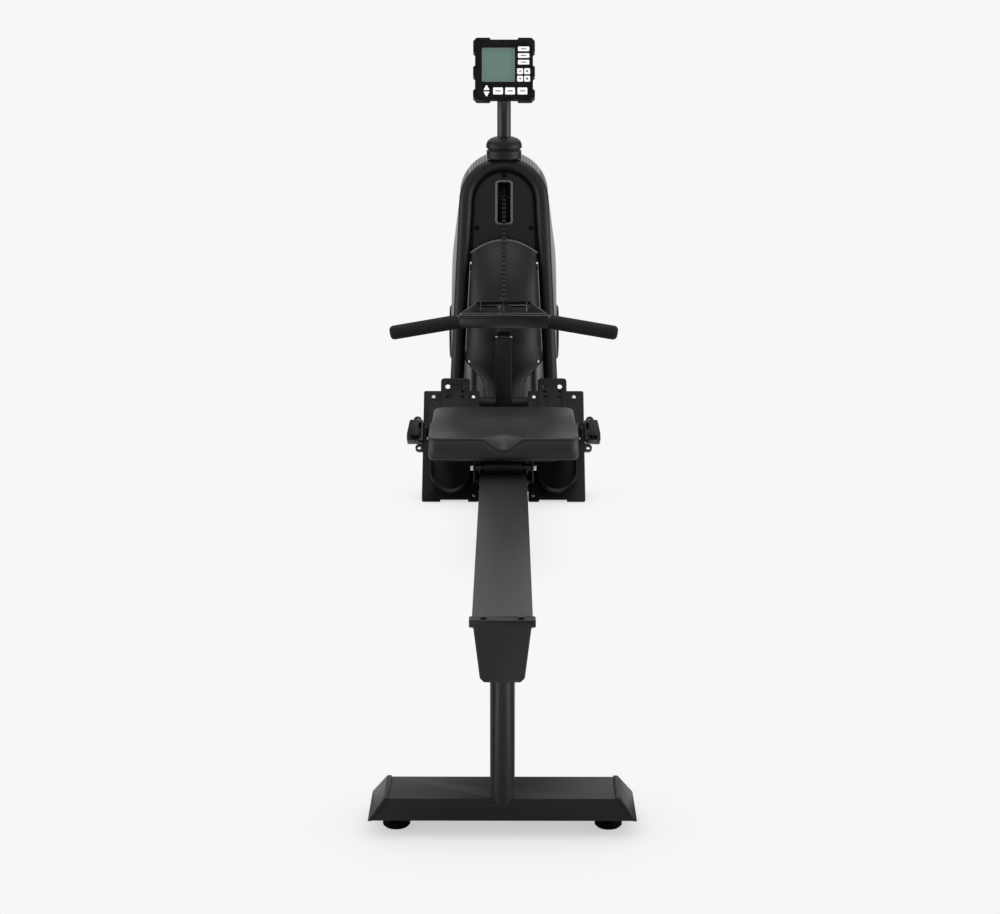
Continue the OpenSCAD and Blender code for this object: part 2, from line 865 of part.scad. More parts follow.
// Half the pad's plan, from the middle of its rear edge to the middle of its front:
// the rear corner is tight, and the sides step in where the pad rises
pad_corner = 20;
pad_front_corner = 26;

function pad_corner_arc(y, r, from, inset) = [for (k = [0 : 4])
    [seat_width / 2 - r, y] + (r - inset) * polar(from + 22.5 * k)];

function pad_half(inset) =
    let(b = seat_depth / 2, low = pad_corner - b, high = b - pad_front_corner)
    concat(
        [for (t = [0, 0.1, 0.19, 0.27, 0.5, 0.75]) [t * seat_width / 2, inset - b]],
        pad_corner_arc(low, pad_corner, -90, inset),
        [for (t = [0.25, 0.4, 0.5, 0.6, 0.8]) [seat_width / 2 - inset, mix(low, high, t)]],
        pad_corner_arc(high, pad_front_corner, 0, inset),
        [for (t = [0.6, 0.3]) [t * seat_width / 2, b - inset]]
    );

function pad_step(p) = [
    p[0] * mix(1, seat_front_width / seat_width, smooth((p[1] / seat_depth + 0.2) / 0.22)), p[1]
];

function pad_plan(inset) =
    let(h = [for (p = pad_half(inset)) pad_step(p)], n = len(h) - 1)
    concat(h, [[0, seat_depth / 2 - inset]], [for (i = [n : -1 : 1]) [-h[i][0], h[i][1]]]);

// Height of the pad's top: it rises to the front, with two hollows and a notch
function pad_top(p) =
    let(
        t = p[1] / seat_depth + 0.5,
        u = (abs(p[0]) - 66) / 50,
        v = (t - 0.52) / 0.26,
        w = p[0] / 42
    )
    mix(seat_rear_height, seat_front_height, smooth((t - 0.18) / 0.5))
        - 7 * exp(-u * u - v * v)
        - seat_notch * max(0, 1.06 - sqrt(w * w + 0.012)) * smooth(1 - t / 0.4);

// The rim's rounding grows towards the front
function pad_edge(p) = 3.2 + 12 * smooth((p[1] / seat_depth + 0.15) / 0.5);

function pad_rim(turn) = [for (p = pad_plan(0))
    let(e = pad_edge(p), q = p * (1 - 2 * e * (1 - cos(turn)) / seat_width))
    [q[0], q[1], pad_top(q) - e * (1 - sin(turn))]];

pad_rings = concat(
    [for (e = [[7, 0], [2, 3], [0, 9]]) [for (p = pad_plan(e[0])) [p[0], p[1], e[1]]]],
    [for (turn = [0 : 22.5 : 90]) pad_rim(turn)],
    [for (k = [0.82, 0.64, 0.46, 0.28, 0.1]) [for (p = pad_rim(90)) [p[0] * k, p[1] * k, pad_top(p * k)]]]
);

module seat_pad() {
    color(seat_grey) in_place() translate([0, seat_y + seat_depth / 2, pad_z]) stacked(pad_rings);
}

// Base plate, side plates and the keepers that hook under the rail's flange
module seat_carriage() {
    plate_z = pad_z - seat_plate;
    side_bottom = keeper_z - 6;
    color(black_paint) in_place() difference() {
        union() {
            translate([-carriage_width / 2 - 50, carriage_y - 4, plate_z])
                cube([carriage_width + 100, carriage_length + 8, seat_plate]);
            both_sides() translate([carriage_width / 2 - carriage_sheet, carriage_y, side_bottom])
                cube([carriage_sheet, carriage_length, plate_z - side_bottom]);
            both_sides() for (y = [carriage_y + 6, carriage_y + carriage_length - 36])
                translate([rail_flank_top + slide_gap + 1, y, side_bottom])
                    cube([carriage_width / 2 - carriage_sheet - rail_flank_top - slide_gap - 1, 30, 6]);
        }
        for (y = roller_ys) translate([0, y, roller_z])
            cross_bar(roller_axle_d, carriage_width + 4);
        both_sides() translate([carriage_width / 2, carriage_y + carriage_length / 2, side_bottom - 22])
            cross_bar(keeper_arch_d, 20);
    }
}

roller_ys = [carriage_y + roller_inset, carriage_y + carriage_length - roller_inset];

// Axles with a hexagonal head and nut, and a spacer each side of the roller
module roller_axles() {
    head = 6;
    color(bright_steel) in_place() for (y = roller_ys) translate([0, y, roller_z]) {
        cross_bar(roller_axle_d, carriage_width);
        both_sides() translate([carriage_width / 2, 0, 0]) rotate([0, 90, 0])
            cylinder(d = 15, h = head, $fn = 6);
        both_sides() translate([(carriage_width - spacer) / 2 - carriage_sheet, 0, 0]) cross_bar(16, spacer);
    }
}

spacer = carriage_width / 2 - carriage_sheet - roller_length / 2 - free_gap;

module roller() {
    rotate([0, 90, 0]) rotate_extrude($fn = 64) polygon([
        [roller_axle_d / 2 + running, -roller_length / 2], [roller_d / 2 - 2, -roller_length / 2],
        [roller_d / 2, -roller_length / 2 + 2], [roller_d / 2, roller_length / 2 - 2],
        [roller_d / 2 - 2, roller_length / 2], [roller_axle_d / 2 + running, roller_length / 2]
    ]);
}

module rear_roller() {
    color(soft_black) in_place() translate([0, roller_ys[0], roller_z]) roller();
}

module front_roller() {
    color(soft_black) in_place() translate([0, roller_ys[1], roller_z]) roller();
}

// Arch, collar and mast

module on_arch() {
    in_place() translate([0, arch_y, arch_z]) rotate([-arch_lean, 0, 0]) children();
}

// A full ring of tube, from which bends are cut
module bent_tube(r, d) {
    rotate_extrude($fn = 128) translate([r, 0]) circle(d = d, $fn = 48);
}

// The bent tube, cut level where it stands on the cross member
module arch_form(d) {
    difference() {
        translate([0, arch_y, arch_z]) rotate([-arch_lean, 0, 0]) {
            difference() {
                rotate([90, 0, 0]) bent_tube(arch_r, d);
                both_sides() rotate([0, -arch_splay, 0]) translate([-30, -d, -2 * arch_r])
                    cube([3 * arch_r, 2 * d, 2 * arch_r]);
            }
            both_sides() translate([arch_r * cos(arch_splay), 0, arch_r * sin(arch_splay)])
                rotate([0, 180 - arch_splay, 0])
                    cylinder(d = d, h = arch_drop + 60, $fn = 48);
        }
        translate([-300, arch_y - 400, cross_top - 200]) cube([600, 500, 200]);
    }
}

// The arch, with the two ears of the idler pulley's bracket welded behind it
module arch_tube() {
    ear = 3;
    color(black_paint) in_place() {
        arch_form(arch_d);
        both_sides() translate([idler_half + 1.5, 0, 0]) rotate([90, 0, 90])
            linear_extrude(ear) polygon([
                [idler_y - 6, idler_z - 13], [idler_y + 8, idler_z - 13], [idler_y + 14, idler_z - 4],
                [idler_y + 14, idler_z + 6], [idler_y + 8, idler_z + 12],
                [crown_y + 4, crown_top - 24], [crown_y - 8, crown_top - 27]
            ]);
        translate([0, idler_y, idler_z]) cross_bar(idler_pin_d, 2 * idler_half + 14);
    }
}

idler_half = 8;
idler_pin_d = 10;

module collar() {
    low = collar_height * 0.42;
    r = collar_d / 2;
    color(black_plastic) in_place() difference() {
        translate([0, mast_y, collar_z]) rotate_extrude($fn = 72) polygon([
            [mast_d / 2, 0], [r - 2, 0], [r - 1, 2], [r - 1, low - 3], [r - 4, low],
            [r - 4, low + 1.5], [r, low + 4], [r, low + 12], [r - 3, collar_height - 10],
            [r - 10, collar_height - 4], [mast_d / 2 + 5, collar_height], [mast_d / 2, collar_height]
        ]);
        arch_form(arch_d);
    }
}

// The mast bends towards the rower and ends in a lug with the hinge pin
module mast() {
    color(black_paint) in_place() {
        difference() {
            translate([0, mast_y, collar_z]) cylinder(d = mast_d, h = mast_bend_z - collar_z, $fn = 48);
            arch_form(arch_d);
        }
        translate([0, mast_y - mast_bend_r, mast_bend_z]) rotate([90, 0, 90]) difference() {
            bent_tube(mast_bend_r, mast_d);
            for (a = [180, mast_bend])
                rotate([0, 0, a]) translate([-1.5 * mast_bend_r, 0, -mast_d])
                    cube([3 * mast_bend_r, 1.5 * mast_bend_r, 2 * mast_d]);
        }
        translate([0, mast_end_y, mast_end_z]) rotate([mast_bend, 0, 0]) {
            translate([-7, -9, 0]) cube([14, 18, hinge_reach]);
            translate([0, 0, -28]) cylinder(d = mast_d + 3, h = 29, $fn = 48);
            translate([0, 0, hinge_reach]) cross_bar(18, 14);
            translate([0, 0, hinge_reach]) cross_bar(hinge_pin_d, 44);
        }
    }
}

hinge_reach = 16;
hinge_pin_d = 8;
hinge_y = mast_end_y - hinge_reach * sin(mast_bend);
hinge_z = mast_end_z + hinge_reach * cos(mast_bend);

// Shrouds inside the arch

inner_r = arch_r - arch_d / 2;
panel_t = 4;
panel_drop = 140;
slot_w = 31;
slot_h = 96;
slot_at = -2;

module panel_outline() {
    low = inner_r / cos(arch_splay) + panel_drop * tan(arch_splay);
    top = [inner_r * cos(arch_splay), inner_r * sin(arch_splay)];
    circle(r = inner_r - 0.15, $fn = 96);
    polygon([[-top[0], top[1]], top, [low, -panel_drop], [-low, -panel_drop]]);
}

module upper_shroud() {
    color(black_plastic) on_arch() rotate([90, 0, 0]) translate([0, 0, -panel_t / 2])
        linear_extrude(panel_t) difference() {
            panel_outline();
            translate([0, slot_at]) rounded_rect([slot_w, slot_h], 6);
        }
}

module slot_bezel() {
    color(black_plastic) on_arch() rotate([90, 0, 0]) translate([0, slot_at, panel_t / 2])
        linear_extrude(3) difference() {
            rounded_rect([slot_w + 11, slot_h + 8], 9);
            rounded_rect([slot_w, slot_h], 6);
        }
}

// A thin closed sheet between two grids of points, row by row
module sheet(outer, inner) {
    m = len(outer);
    n = len(outer[0]);
    b = m * n;
    polyhedron(
        points = concat([for (r = outer) each r], [for (r = inner) each r]),
        faces = concat(
            [for (i = [0 : m - 2]) for (j = [0 : n - 2]) let(p = i * n + j) each concat(
                quad(p, p + 1, p + n + 1, p + n), quad(b + p + n, b + p + n + 1, b + p + 1, b + p)
            )],
            [for (i = [0 : m - 2]) let(p = i * n) each quad(p, p + n, b + p + n, b + p)],
            [for (i = [0 : m - 2]) let(p = i * n + n - 1) each quad(b + p, b + p + n, p + n, p)],
            [for (j = [0 : n - 2]) each quad(b + j, b + j + 1, j + 1, j)],
            [for (j = [0 : n - 2]) let(p = (m - 1) * n + j) each quad(p, p + 1, b + p + 1, b + p)]
        )
    );
}

function arch_plane_y(z) = arch_y - (arch_z - z) * tan(arch_lean);

// Half the width between the arch's legs at height z, less a clearance
function arch_inside(z) = inner_r - free_gap + (arch_z - z) / cos(arch_lean) * tan(arch_splay);

// Levels of the nose: height, half width and how far it bulges out of the arch's plane
post_back = post_y + post_depth / 2;
function nose_reach(z, gap) = arch_plane_y(z) - panel_front - post_back - gap;
panel_front = panel_t / 2 / cos(arch_lean);
nose_foot = 34;
nose_bulge = 84;
nose_floor = frame_z + beam_height / 2;
function nose_z(t) = mix(nose_floor, arch_z, t);
nose_levels = concat(
    [for (e = [[0, 1], [0.21, 1.3], [0.25, 1.42], [0.29, 2.06]])
        [nose_z(e[0]), nose_foot * e[1], nose_reach(nose_z(e[0]), 3)]],
    [for (t = [0.335, 0.42]) [nose_z(t), arch_inside(nose_z(t)), nose_reach(nose_z(t), 3)]],
    [for (e = [[0.567, 1], [0.679, 0.81], [0.772, 0.5], [0.813, 0.167]])
        [nose_z(e[0]), arch_inside(nose_z(e[0])), nose_bulge * e[1]]]
);
nose_across = 16;
nose_top = 14;

// One point of the nose: s runs from -1 to 1 across it
function nose_point(level, s, inset) =
    let(
        a = 90 * s,
        e = nose_levels[level],
        lift = level > len(nose_levels) - 3 ? nose_top * pow(cos(a), 2) : 0,
        z = e[0] + lift,
        w = e[1] - inset
    )
    [w * sin(a), arch_plane_y(z) - panel_front - (e[2] - inset) * pow(cos(a), 0.8), z];

function nose_grid(inset) = [for (l = [0 : len(nose_levels) - 1])
    [for (i = [0 : nose_across]) nose_point(l, 1 - 2 * i / nose_across, inset)]];

module lower_shroud() {
    color(black_plastic) in_place() sheet(nose_grid(0), nose_grid(skin));
}

// Housing

// The housing's outline is drawn tight round three circles: fan, crown and chin.
// Each is its centre, radius, half width and the depth of its rounded edge.
fan_round = [[fan_y, fan_z], housing_r, housing_half, 70];
crown_round = [[crown_cy, crown_cz], crown_r, crown_half, 98];
chin_round = [[chin_y, chin_z], chin_r, chin_half, 52];

// Direction that the straight line from one circle to the next faces
function flank(p, q) =
    let(d = q[0] - p[0])
    (atan2(d[1], d[0]) - acos((p[1] - q[1]) / norm(d)) + 540) % 360 - 180;

front_flank = flank(fan_round, crown_round);
rear_flank = flank(crown_round, chin_round);
low_flank = flank(chin_round, fan_round);

// A point of the skin of circle q: facing a, turned by t from the middle to the side
function skin_point(q, a, t, inset) =
    let(
        r = q[1] - inset - q[3] * (1 - cos(t)),
        p = q[0] + r * polar(a)
    )
    [(q[2] - inset) * sin(t), p[0], p[1]];

// Stations round the housing: circle and direction
function arc_stations(q, from, to, n) = [for (i = [0 : n]) [q, mix(from, to, i / n)]];

guard_from = 55;
shell_stations = concat(
    arc_stations(fan_round, low_flank, front_flank, 26),
    arc_stations(crown_round, front_flank, rear_flank, 12),
    arc_stations(chin_round, rear_flank, low_flank + 360, 8)
);

// The skin reaches the middle only at the chin, under the shrouds
function shell_start(q, a) = q == chin_round && a < low_flank + 352 ? 0.6 : guard_from;

function inlet_point(a, r, x) = [x, fan_y + r * cos(a), fan_z + r * sin(a)];

shell_steps = 4;
shell_sections = [for (s = shell_stations)
    let(q = s[0], a = s[1], from = shell_start(q, a))
    concat(
        [for (k = [0 : shell_steps]) skin_point(q, a, mix(from, 90, k / shell_steps), 0)],
        [inlet_point(a, inlet_r + 12, housing_half), inlet_point(a, inlet_r, housing_half)],
        [
            inlet_point(a, inlet_r, housing_half - skin),
            inlet_point(a, inlet_r + 12, housing_half - skin)
        ],
        [for (k = [shell_steps : -1 : 0])
            skin_point(q, a, mix(from, 90, k / shell_steps), skin)]
    )
];

module side_shell() {
    looped(shell_sections);
}

module side_shell_right() {
    color(black_plastic) in_place() side_shell();
}

module side_shell_left() {
    color(black_plastic) in_place() mirror([1, 0, 0]) side_shell();
}

// Round grilles behind the shells' inlets, with radial slots
module inlet_grilles() {
    slots = 28;
    color(black_paint) in_place() both_sides()
        translate([grille_x, fan_y, fan_z]) rotate([90, 0, 90])
            linear_extrude(grille_t) difference() {
                circle(r = inlet_r + 8, $fn = 128);
                for (i = [0 : slots - 1]) rotate([0, 0, i * 360 / slots]) {
                    translate([hub_cover_r + 14, -5]) square([inlet_r - hub_cover_r - 24, 10]);
                }
                circle(d = axle_d + 2, $fn = 48);
            }
}

module hub_covers() {
    color(black_plastic) in_place() both_sides()
        translate([housing_half - skin, fan_y, fan_z]) rotate([0, 90, 0]) rotate_extrude($fn = 96) polygon([
            [0, 0], [hub_cover_r - 20, 0], [hub_cover_r - 20, skin + 1.5], [hub_cover_r, skin + 1.5],
            [hub_cover_r, skin + 6], [hub_cover_r - 5, skin + 10], [0, skin + 10]
        ]);
}

// Perforated guard

// Half the turn between the two flanks of the fan and the crown
front_flank_turn = acos((housing_r - crown_r) / norm(crown_round[0] - fan_round[0]));
guard_low = -100;
guard_high = 130;
guard_front_len = (front_flank - guard_low) * PI / 180 * housing_r;
guard_flat_len = norm(crown_round[0] - fan_round[0]) * sin(front_flank_turn);
guard_top_len = (guard_high - front_flank) * PI / 180 * crown_r;
guard_len = guard_front_len + guard_flat_len + guard_top_len;

// A point of the guard: u along it from its low end, v across it, both 0 to 1
function guard_point(u, v, inset) =
    let(s = u * guard_len, t = (1 - 2 * v) * (guard_from - 1), past = s - guard_front_len)
    s < guard_front_len
        ? skin_point(fan_round, guard_low + s / housing_r * 180 / PI, t, inset)
        : past > guard_flat_len
            ? skin_point(crown_round, front_flank + (past - guard_flat_len) / crown_r * 180 / PI, t, inset)
            : mix(
                skin_point(fan_round, front_flank, t, inset),
                skin_point(crown_round, front_flank, t, inset),
                past / guard_flat_len
            );

// Points of one face of the guard: the grid's corners, then each hole's corners
function guard_face(inset) = concat(
    [for (i = [0 : guard_steps]) for (j = [0 : guard_rows])
        guard_point(i / guard_steps, j / guard_rows, inset)],
    [for (i = [0 : guard_steps - 1]) for (j = [0 : guard_rows - 1])
        for (c = [[0.14, 0.2], [0.86, 0.2], [0.86, 0.8], [0.14, 0.8]])
            guard_point((i + c[0]) / guard_steps, (j + c[1]) / guard_rows, inset)]
);

guard_corners = (guard_steps + 1) * (guard_rows + 1);
guard_points = guard_corners + 4 * guard_steps * guard_rows;

function quad(a, b, c, d) = [[a, b, c], [a, c, d]];

function corner(i, j) = i * (guard_rows + 1) + j;

// Faces of the cell at row j of step i: the sheet on both sides and the hole's walls
function cell_faces(i, j) =
    let(
        c = [corner(i, j), corner(i + 1, j), corner(i + 1, j + 1), corner(i, j + 1)],
        h = guard_corners + 4 * (i * guard_rows + j),
        b = guard_points
    )
    [for (k = [0 : 3])
        let(m = (k + 1) % 4)
        each concat(
            quad(c[k], c[m], h + m, h + k),
            quad(b + c[m], b + c[k], b + h + k, b + h + m),
            quad(h + k, h + m, b + h + m, b + h + k)
        )];

function edge_faces(a, b) = quad(b, a, guard_points + a, guard_points + b);

module fan_guard() {
    color(guard_grey) in_place() polyhedron(
        points = concat(guard_face(0), guard_face(skin - 1)),
        faces = concat(
            [for (i = [0 : guard_steps - 1]) for (j = [0 : guard_rows - 1]) each cell_faces(i, j)],
            [for (i = [0 : guard_steps - 1]) each edge_faces(corner(i, 0), corner(i + 1, 0))],
            [for (i = [0 : guard_steps - 1])
                each edge_faces(corner(i + 1, guard_rows), corner(i, guard_rows))],
            [for (j = [0 : guard_rows - 1])
                each edge_faces(corner(guard_steps, j), corner(guard_steps, j + 1))],
            [for (j = [0 : guard_rows - 1]) each edge_faces(corner(0, j + 1), corner(0, j))]
        )
    );
}

// Fan

module at_fan() {
    in_place() translate([0, fan_y, fan_z]) children();
}

module fan_axle() {
    nut = 8;
    color(bright_steel) at_fan() {
        cross_bar(axle_d, 2 * (fork_x + fork_sheet + nut));
        both_sides() translate([fork_x + fork_sheet, 0, 0]) rotate([0, 90, 0])
            cylinder(d = axle_d + 11, h = nut, $fn = 6);
        translate([(fork_x + sprocket_half + 1) / 2, 0, 0])
            cross_bar(axle_d + 8, fork_x - sprocket_half - 1);
    }
}

sprocket_half = 5;
fan_inner = -sprocket_half - 1;
fan_mid = fan_inner - 6 - fan_width / 2;

// Hub, spokes and flat blades between two rings
module flywheel() {
    ring = 3;
    color(black_paint) at_fan() translate([fan_mid, 0, 0]) difference() {
        union() {
            cross_bar(64, fan_width + 12);
            for (i = [0 : fan_blades - 1]) rotate([i * 360 / fan_blades, 0, 0])
                translate([1 - fan_width / 2, -1.25, 28]) cube([fan_width - 2, 2.5, fan_r - 31]);
            for (x = [-fan_width / 2, fan_width / 2 - ring]) translate([x, 0, 0])
                rotate([0, 90, 0]) difference() {
                    cylinder(r = fan_r, h = ring, $fn = 128);
                    translate([0, 0, -1]) cylinder(r = fan_r - 34, h = ring + 2, $fn = 128);
                }
            translate([-4, 0, 0]) rotate([0, 90, 0]) cylinder(r = 120, h = 8, $fn = 96);
        }
        cross_bar(axle_d + 2 * running, fan_width + 40);
    }
}

sprocket_pitch_r = chain_pitch / 2 / sin(180 / sprocket_teeth);

// Direction of a tooth gap, set so that the chain's rollers lie in the gaps
module drive_sprocket() {
    color(bright_steel) at_fan() rotate([90, 0, 90]) difference() {
        union() {
            cylinder(r = sprocket_pitch_r - 4.5, h = 2 * sprocket_half, center = true, $fn = 64);
            linear_extrude(2.4, center = true) for (i = [0 : sprocket_teeth - 1])
                rotate([0, 0, wrap_from + (i + 0.5) * 360 / sprocket_teeth]) polygon([
                    [sprocket_pitch_r - 6, -4], [sprocket_pitch_r - 1, -1.8], [sprocket_pitch_r + 4, -0.8],
                    [sprocket_pitch_r + 4, 0.8], [sprocket_pitch_r - 1, 1.8], [sprocket_pitch_r - 6, 4]
                ]);
        }
        cylinder(d = axle_d + 2 * running, h = 40, center = true, $fn = 48);
    }
}

module idler_pulley() {
    color(soft_black) in_place() translate([0, idler_y, idler_z]) rotate([0, 90, 0])
        rotate_extrude($fn = 64) polygon([
            [idler_pin_d / 2 + running, -idler_half], [idler_r + 4, -idler_half],
            [idler_r + 4, 0.5 - idler_half], [idler_r - 5, 2 - idler_half],
            [idler_r - 5, idler_half - 2], [idler_r + 4, idler_half - 0.5],
            [idler_r + 4, idler_half], [idler_pin_d / 2 + running, idler_half]
        ]);
}

// Chain

// The run to the handle touches the idler's upper side; its last roller is the hook
to_idler = [idler_y, idler_z] - hook;
run_turn = atan2(to_idler[1], to_idler[0]) + asin(idler_r / norm(to_idler));
run_len = sqrt(to_idler * to_idler - idler_r * idler_r);
run_links = round(run_len / chain_pitch);
run_to = [idler_y, idler_z] + idler_r * polar(run_turn + 90);

// The inner run leaves the idler on its front side and passes over the sprocket
to_sprocket = [fan_y - idler_y, fan_z - idler_z];
drop_turn = atan2(to_sprocket[1], to_sprocket[0]) - asin((sprocket_pitch_r - idler_r) / norm(to_sprocket));
wrap_from = drop_turn + 90;
wrap_links = 8;
wrap_to = wrap_from - wrap_links * 360 / sprocket_teeth;
drop_start = [idler_y, idler_z] + idler_r * polar(wrap_from);
drop_end = [fan_y, fan_z] + sprocket_pitch_r * polar(wrap_from);
drop_links = round(norm(drop_end - drop_start) / chain_pitch);
idler_links = 4;
tail_links = 8;
tail_start = [fan_y, fan_z] + sprocket_pitch_r * polar(wrap_to);

chain_pins = concat(
    [for (i = [0 : run_links - 1]) run_to - polar(run_turn) * (run_links - i) * run_len / run_links],
    [for (i = [0 : idler_links])
        [idler_y, idler_z] + idler_r * polar(mix(run_turn + 90, wrap_from, i / idler_links))],
    [for (i = [1 : drop_links - 1]) mix(drop_start, drop_end, i / drop_links)],
    [for (i = [0 : wrap_links])
        [fan_y, fan_z] + sprocket_pitch_r * polar(mix(wrap_from, wrap_to, i / wrap_links))],
    [for (i = [1 : tail_links]) tail_start + polar(wrap_to - 90) * i * chain_pitch]
);

module chain_plates(odd) {
    for (i = [odd : 2 : len(chain_pins) - 2]) {
        a = chain_pins[i];
        d = chain_pins[i + 1] - a;
        translate(a) rotate([0, 0, atan2(d[1], d[0])]) polygon([
            [-3.8, -1.8], [-1.8, -3.8], [norm(d) + 1.8, -3.8], [norm(d) + 3.8, -1.8],
            [norm(d) + 3.8, 1.8], [norm(d) + 1.8, 3.8], [-1.8, 3.8], [-3.8, 1.8]
        ]);
    }
}

// Rollers between pairs of plates; inner and outer links take turns
module drive_chain() {
    color(bright_steel) in_place() rotate([90, 0, 90]) {
        linear_extrude(10, center = true) for (p = chain_pins) translate(p) circle(d = 5, $fn = 8);
        for (x = [2.6, -2.6 - 1.2]) translate([0, 0, x]) linear_extrude(1.2) chain_plates(0);
        for (x = [3.8, -3.8 - 1.2]) translate([0, 0, x]) linear_extrude(1.2) chain_plates(1);
    }
}

// Handle

stub_x = handle_width / 2 - 8;
stub_length = 34;
grip_from = 12;
grip_bore = grip_d - 4;

// Along the axis of each grip, from inside the body outwards
module on_grip_axis() {
    both_sides() translate([stub_x, 0, handle_height / 2]) rotate([0, 90 + grip_droop, 0]) children();
}

module at_handle() {
    in_place() translate([0, handle_y, handle_z]) children();
}

// Body bar with a ribbed web that narrows towards the chain
module handle_body() {
    color(black_plastic) at_handle() {
        translate([-handle_width / 2, -handle_depth / 2, 0]) difference() {
            cube([handle_width, handle_depth, handle_height]);
            translate([6, 4, handle_height - 10]) cube([handle_width - 12, handle_depth - 8, 11]);
        }
        on_grip_axis() cylinder(d = grip_bore, h = stub_length, $fn = 48);
        translate([0, handle_depth / 2, handle_height - web_t]) rotate([web_tilt, 0, 0]) {
            linear_extrude(web_t) difference() {
                polygon([
                    [-handle_width / 2 + 1, -2], [handle_width / 2 - 1, -2], [web_half, web_reach],
                    [-web_half, web_reach]
                ]);
                for (x = [-34, 34]) translate([x, web_reach / 2]) rounded_rect([44, 26], 6);
            }
            for (x = [-52, 0, 52]) translate([x - 1.5, 0, 0]) cube([3, web_reach - 4, rim]);
            translate([-web_half, web_reach - 4, 0]) cube([2 * web_half, 4, rim]);
        }
    }
}

module handle_grips() {
    reach = (handle_span / 2 - stub_x) / cos(grip_droop);
    color(soft_black) at_handle() on_grip_axis() difference() {
        rotate_extrude($fn = 64) polygon([
            [0, grip_from], [grip_d / 2 - 1.5, grip_from], [grip_d / 2, grip_from + 1.5],
            [grip_d / 2, reach - 9], [grip_d / 2 - 2, reach - 4], [grip_d / 2 - 6, reach - 1], [0, reach]
        ]);
        cylinder(d = grip_bore, h = stub_length, $fn = 48);
    }
}

// Two cheeks on the web's rim, with the head of the pin that holds the chain
module chain_clevis() {
    cheek = 3;
    color(bright_steel) in_place() rotate([90, 0, 90]) translate(web_end) rotate([0, 0, web_tilt]) {
        translate([0, -rim / 2, -5 - cheek - free_gap]) cube([4, rim, 2 * (5 + cheek + free_gap)]);
        for (x = [5 + free_gap, -5 - free_gap - cheek]) translate([0, 0, x]) linear_extrude(cheek) {
            translate([0, -rim / 2]) square([hook_gap, rim]);
            translate([hook_gap, 0]) circle(r = 6, $fn = 24);
        }
        for (x = [5 + free_gap + cheek, -5 - free_gap - cheek - 1.5]) translate([hook_gap, 0, x])
            cylinder(d = 8, h = 1.5, $fn = 24);
    }
}

// Console

module on_console() {
    in_place() translate([0, hinge_y, hinge_z]) rotate([-console_tilt, 0, 0])
        translate([0, -console_depth / 2 - console_back, 0]) children();
}

module console_face() {
    rounded_rect([console_width - 9, console_height - 9], 8);
}

// Case with two ears that ride on the mast's hinge pin
module console_case() {
    color(black_plastic) on_console() {
        difference() {
            rotate([90, 0, 0]) translate([0, 0, -console_depth / 2])
                linear_extrude(console_depth - bezel_t) console_face();
            key_cuts(0.4);
            translate([screen_x, (screen_t + 1) / 2 - 1 - bezel_back, screen_z])
                cube([screen_w + 1, screen_t + 1, screen_h + 1], center = true);
        }
        both_sides() translate([11, console_depth / 2 + console_back, 0]) difference() {
            union() {
                cross_bar(18, 6);
                translate([-3, -console_back - 1, -9]) cube([6, console_back + 1, 18]);
            }
            cross_bar(hinge_pin_d + 2 * running, 10);
        }
    }
}

bezel_t = 4;
bezel_back = console_depth / 2 - bezel_t;
screen_x = -13;
screen_z = 9.6;
screen_w = 80;
screen_h = 86;
screen_t = 4;

// Front frame with bumpers at its corners and the middle of its sides
module console_bezel() {
    color(black_plastic) on_console() difference() {
        union() {
            rotate([90, 0, 0]) translate([0, 0, bezel_back]) linear_extrude(bezel_t) console_face();
            rotate([90, 0, 0]) linear_extrude(console_depth, center = true) bumpers();
        }
        rotate([90, 0, 0]) translate([0, 0, -console_depth / 2 - 1])
            linear_extrude(console_depth / 2 + 1 + bezel_back) console_face();
        translate([screen_x, -console_depth / 2, screen_z])
            cube([screen_w - 4, 20, screen_h - 4], center = true);
        key_cuts(0.4);
        translate([key_table[arrow_from][0], 0.6 - console_depth / 2, -53]) rotate([90, 0, 0])
            linear_extrude(2) rounded_rect([19, 28], 9);
    }
}

// Chamfered corner bumpers, and one halfway up each side
module bumpers() {
    w = console_width / 2;
    h = console_height / 2;
    both_sides() {
        for (m = [0, 1]) mirror([0, m]) polygon([
            [w - 42, h - 8], [w - 38, h], [w - 8, h], [w, h - 8], [w, h - 31 + 10 * m],
            [w - 4.5, h - 34.5 + 10 * m], [w - 14, h - 34.5 + 10 * m], [w - 14, h - 8]
        ]);
        polygon([[w - 14, -19], [w - 4.5, -19], [w, -16], [w, 4], [w - 4.5, 7], [w - 14, 7]]);
    }
}

module console_screen() {
    color(screen_green) on_console()
        translate([screen_x, screen_t / 2 - bezel_back, screen_z])
            cube([screen_w, screen_t, screen_h], center = true);
}

// Keys: place on the face and size
key_table = [
    [45, 46, 26, 10.6], [45, 30, 26, 10.6], [45, 14.4, 26, 10.6],
    [37, -7, 13.4, 13.4], [53, -7, 13.4, 13.4], [37, -24.6, 13.4, 13.4], [53, -24.6, 13.4, 13.4],
    [-13.7, -53.6, 22.4, 16], [14, -53.6, 22.4, 16], [42.2, -53.6, 22.4, 16],
    [-40, -45.6, 13.2, 11], [-40, -60.6, 13.2, 11]
];
arrow_from = 10;

// A key's outline: rounded, but the last two are arrow heads, up and down
module key_shape(i, gap) {
    w = key_table[i][2] / 2 + gap;
    h = key_table[i][3] / 2 + gap;
    if (i < arrow_from) rounded_rect([2 * w, 2 * h], 2 + gap);
    else mirror([0, i - arrow_from])
        polygon([[-w, 0.4 - h], [0.4 - w, -h], [w - 0.4, -h], [w, 0.4 - h], [1, h], [-1, h]]);
}

module key_cuts(gap) {
    for (i = [0 : len(key_table) - 1])
        translate([key_table[i][0], 6 - console_depth / 2, key_table[i][1]]) rotate([90, 0, 0])
            linear_extrude(12) key_shape(i, gap);
}

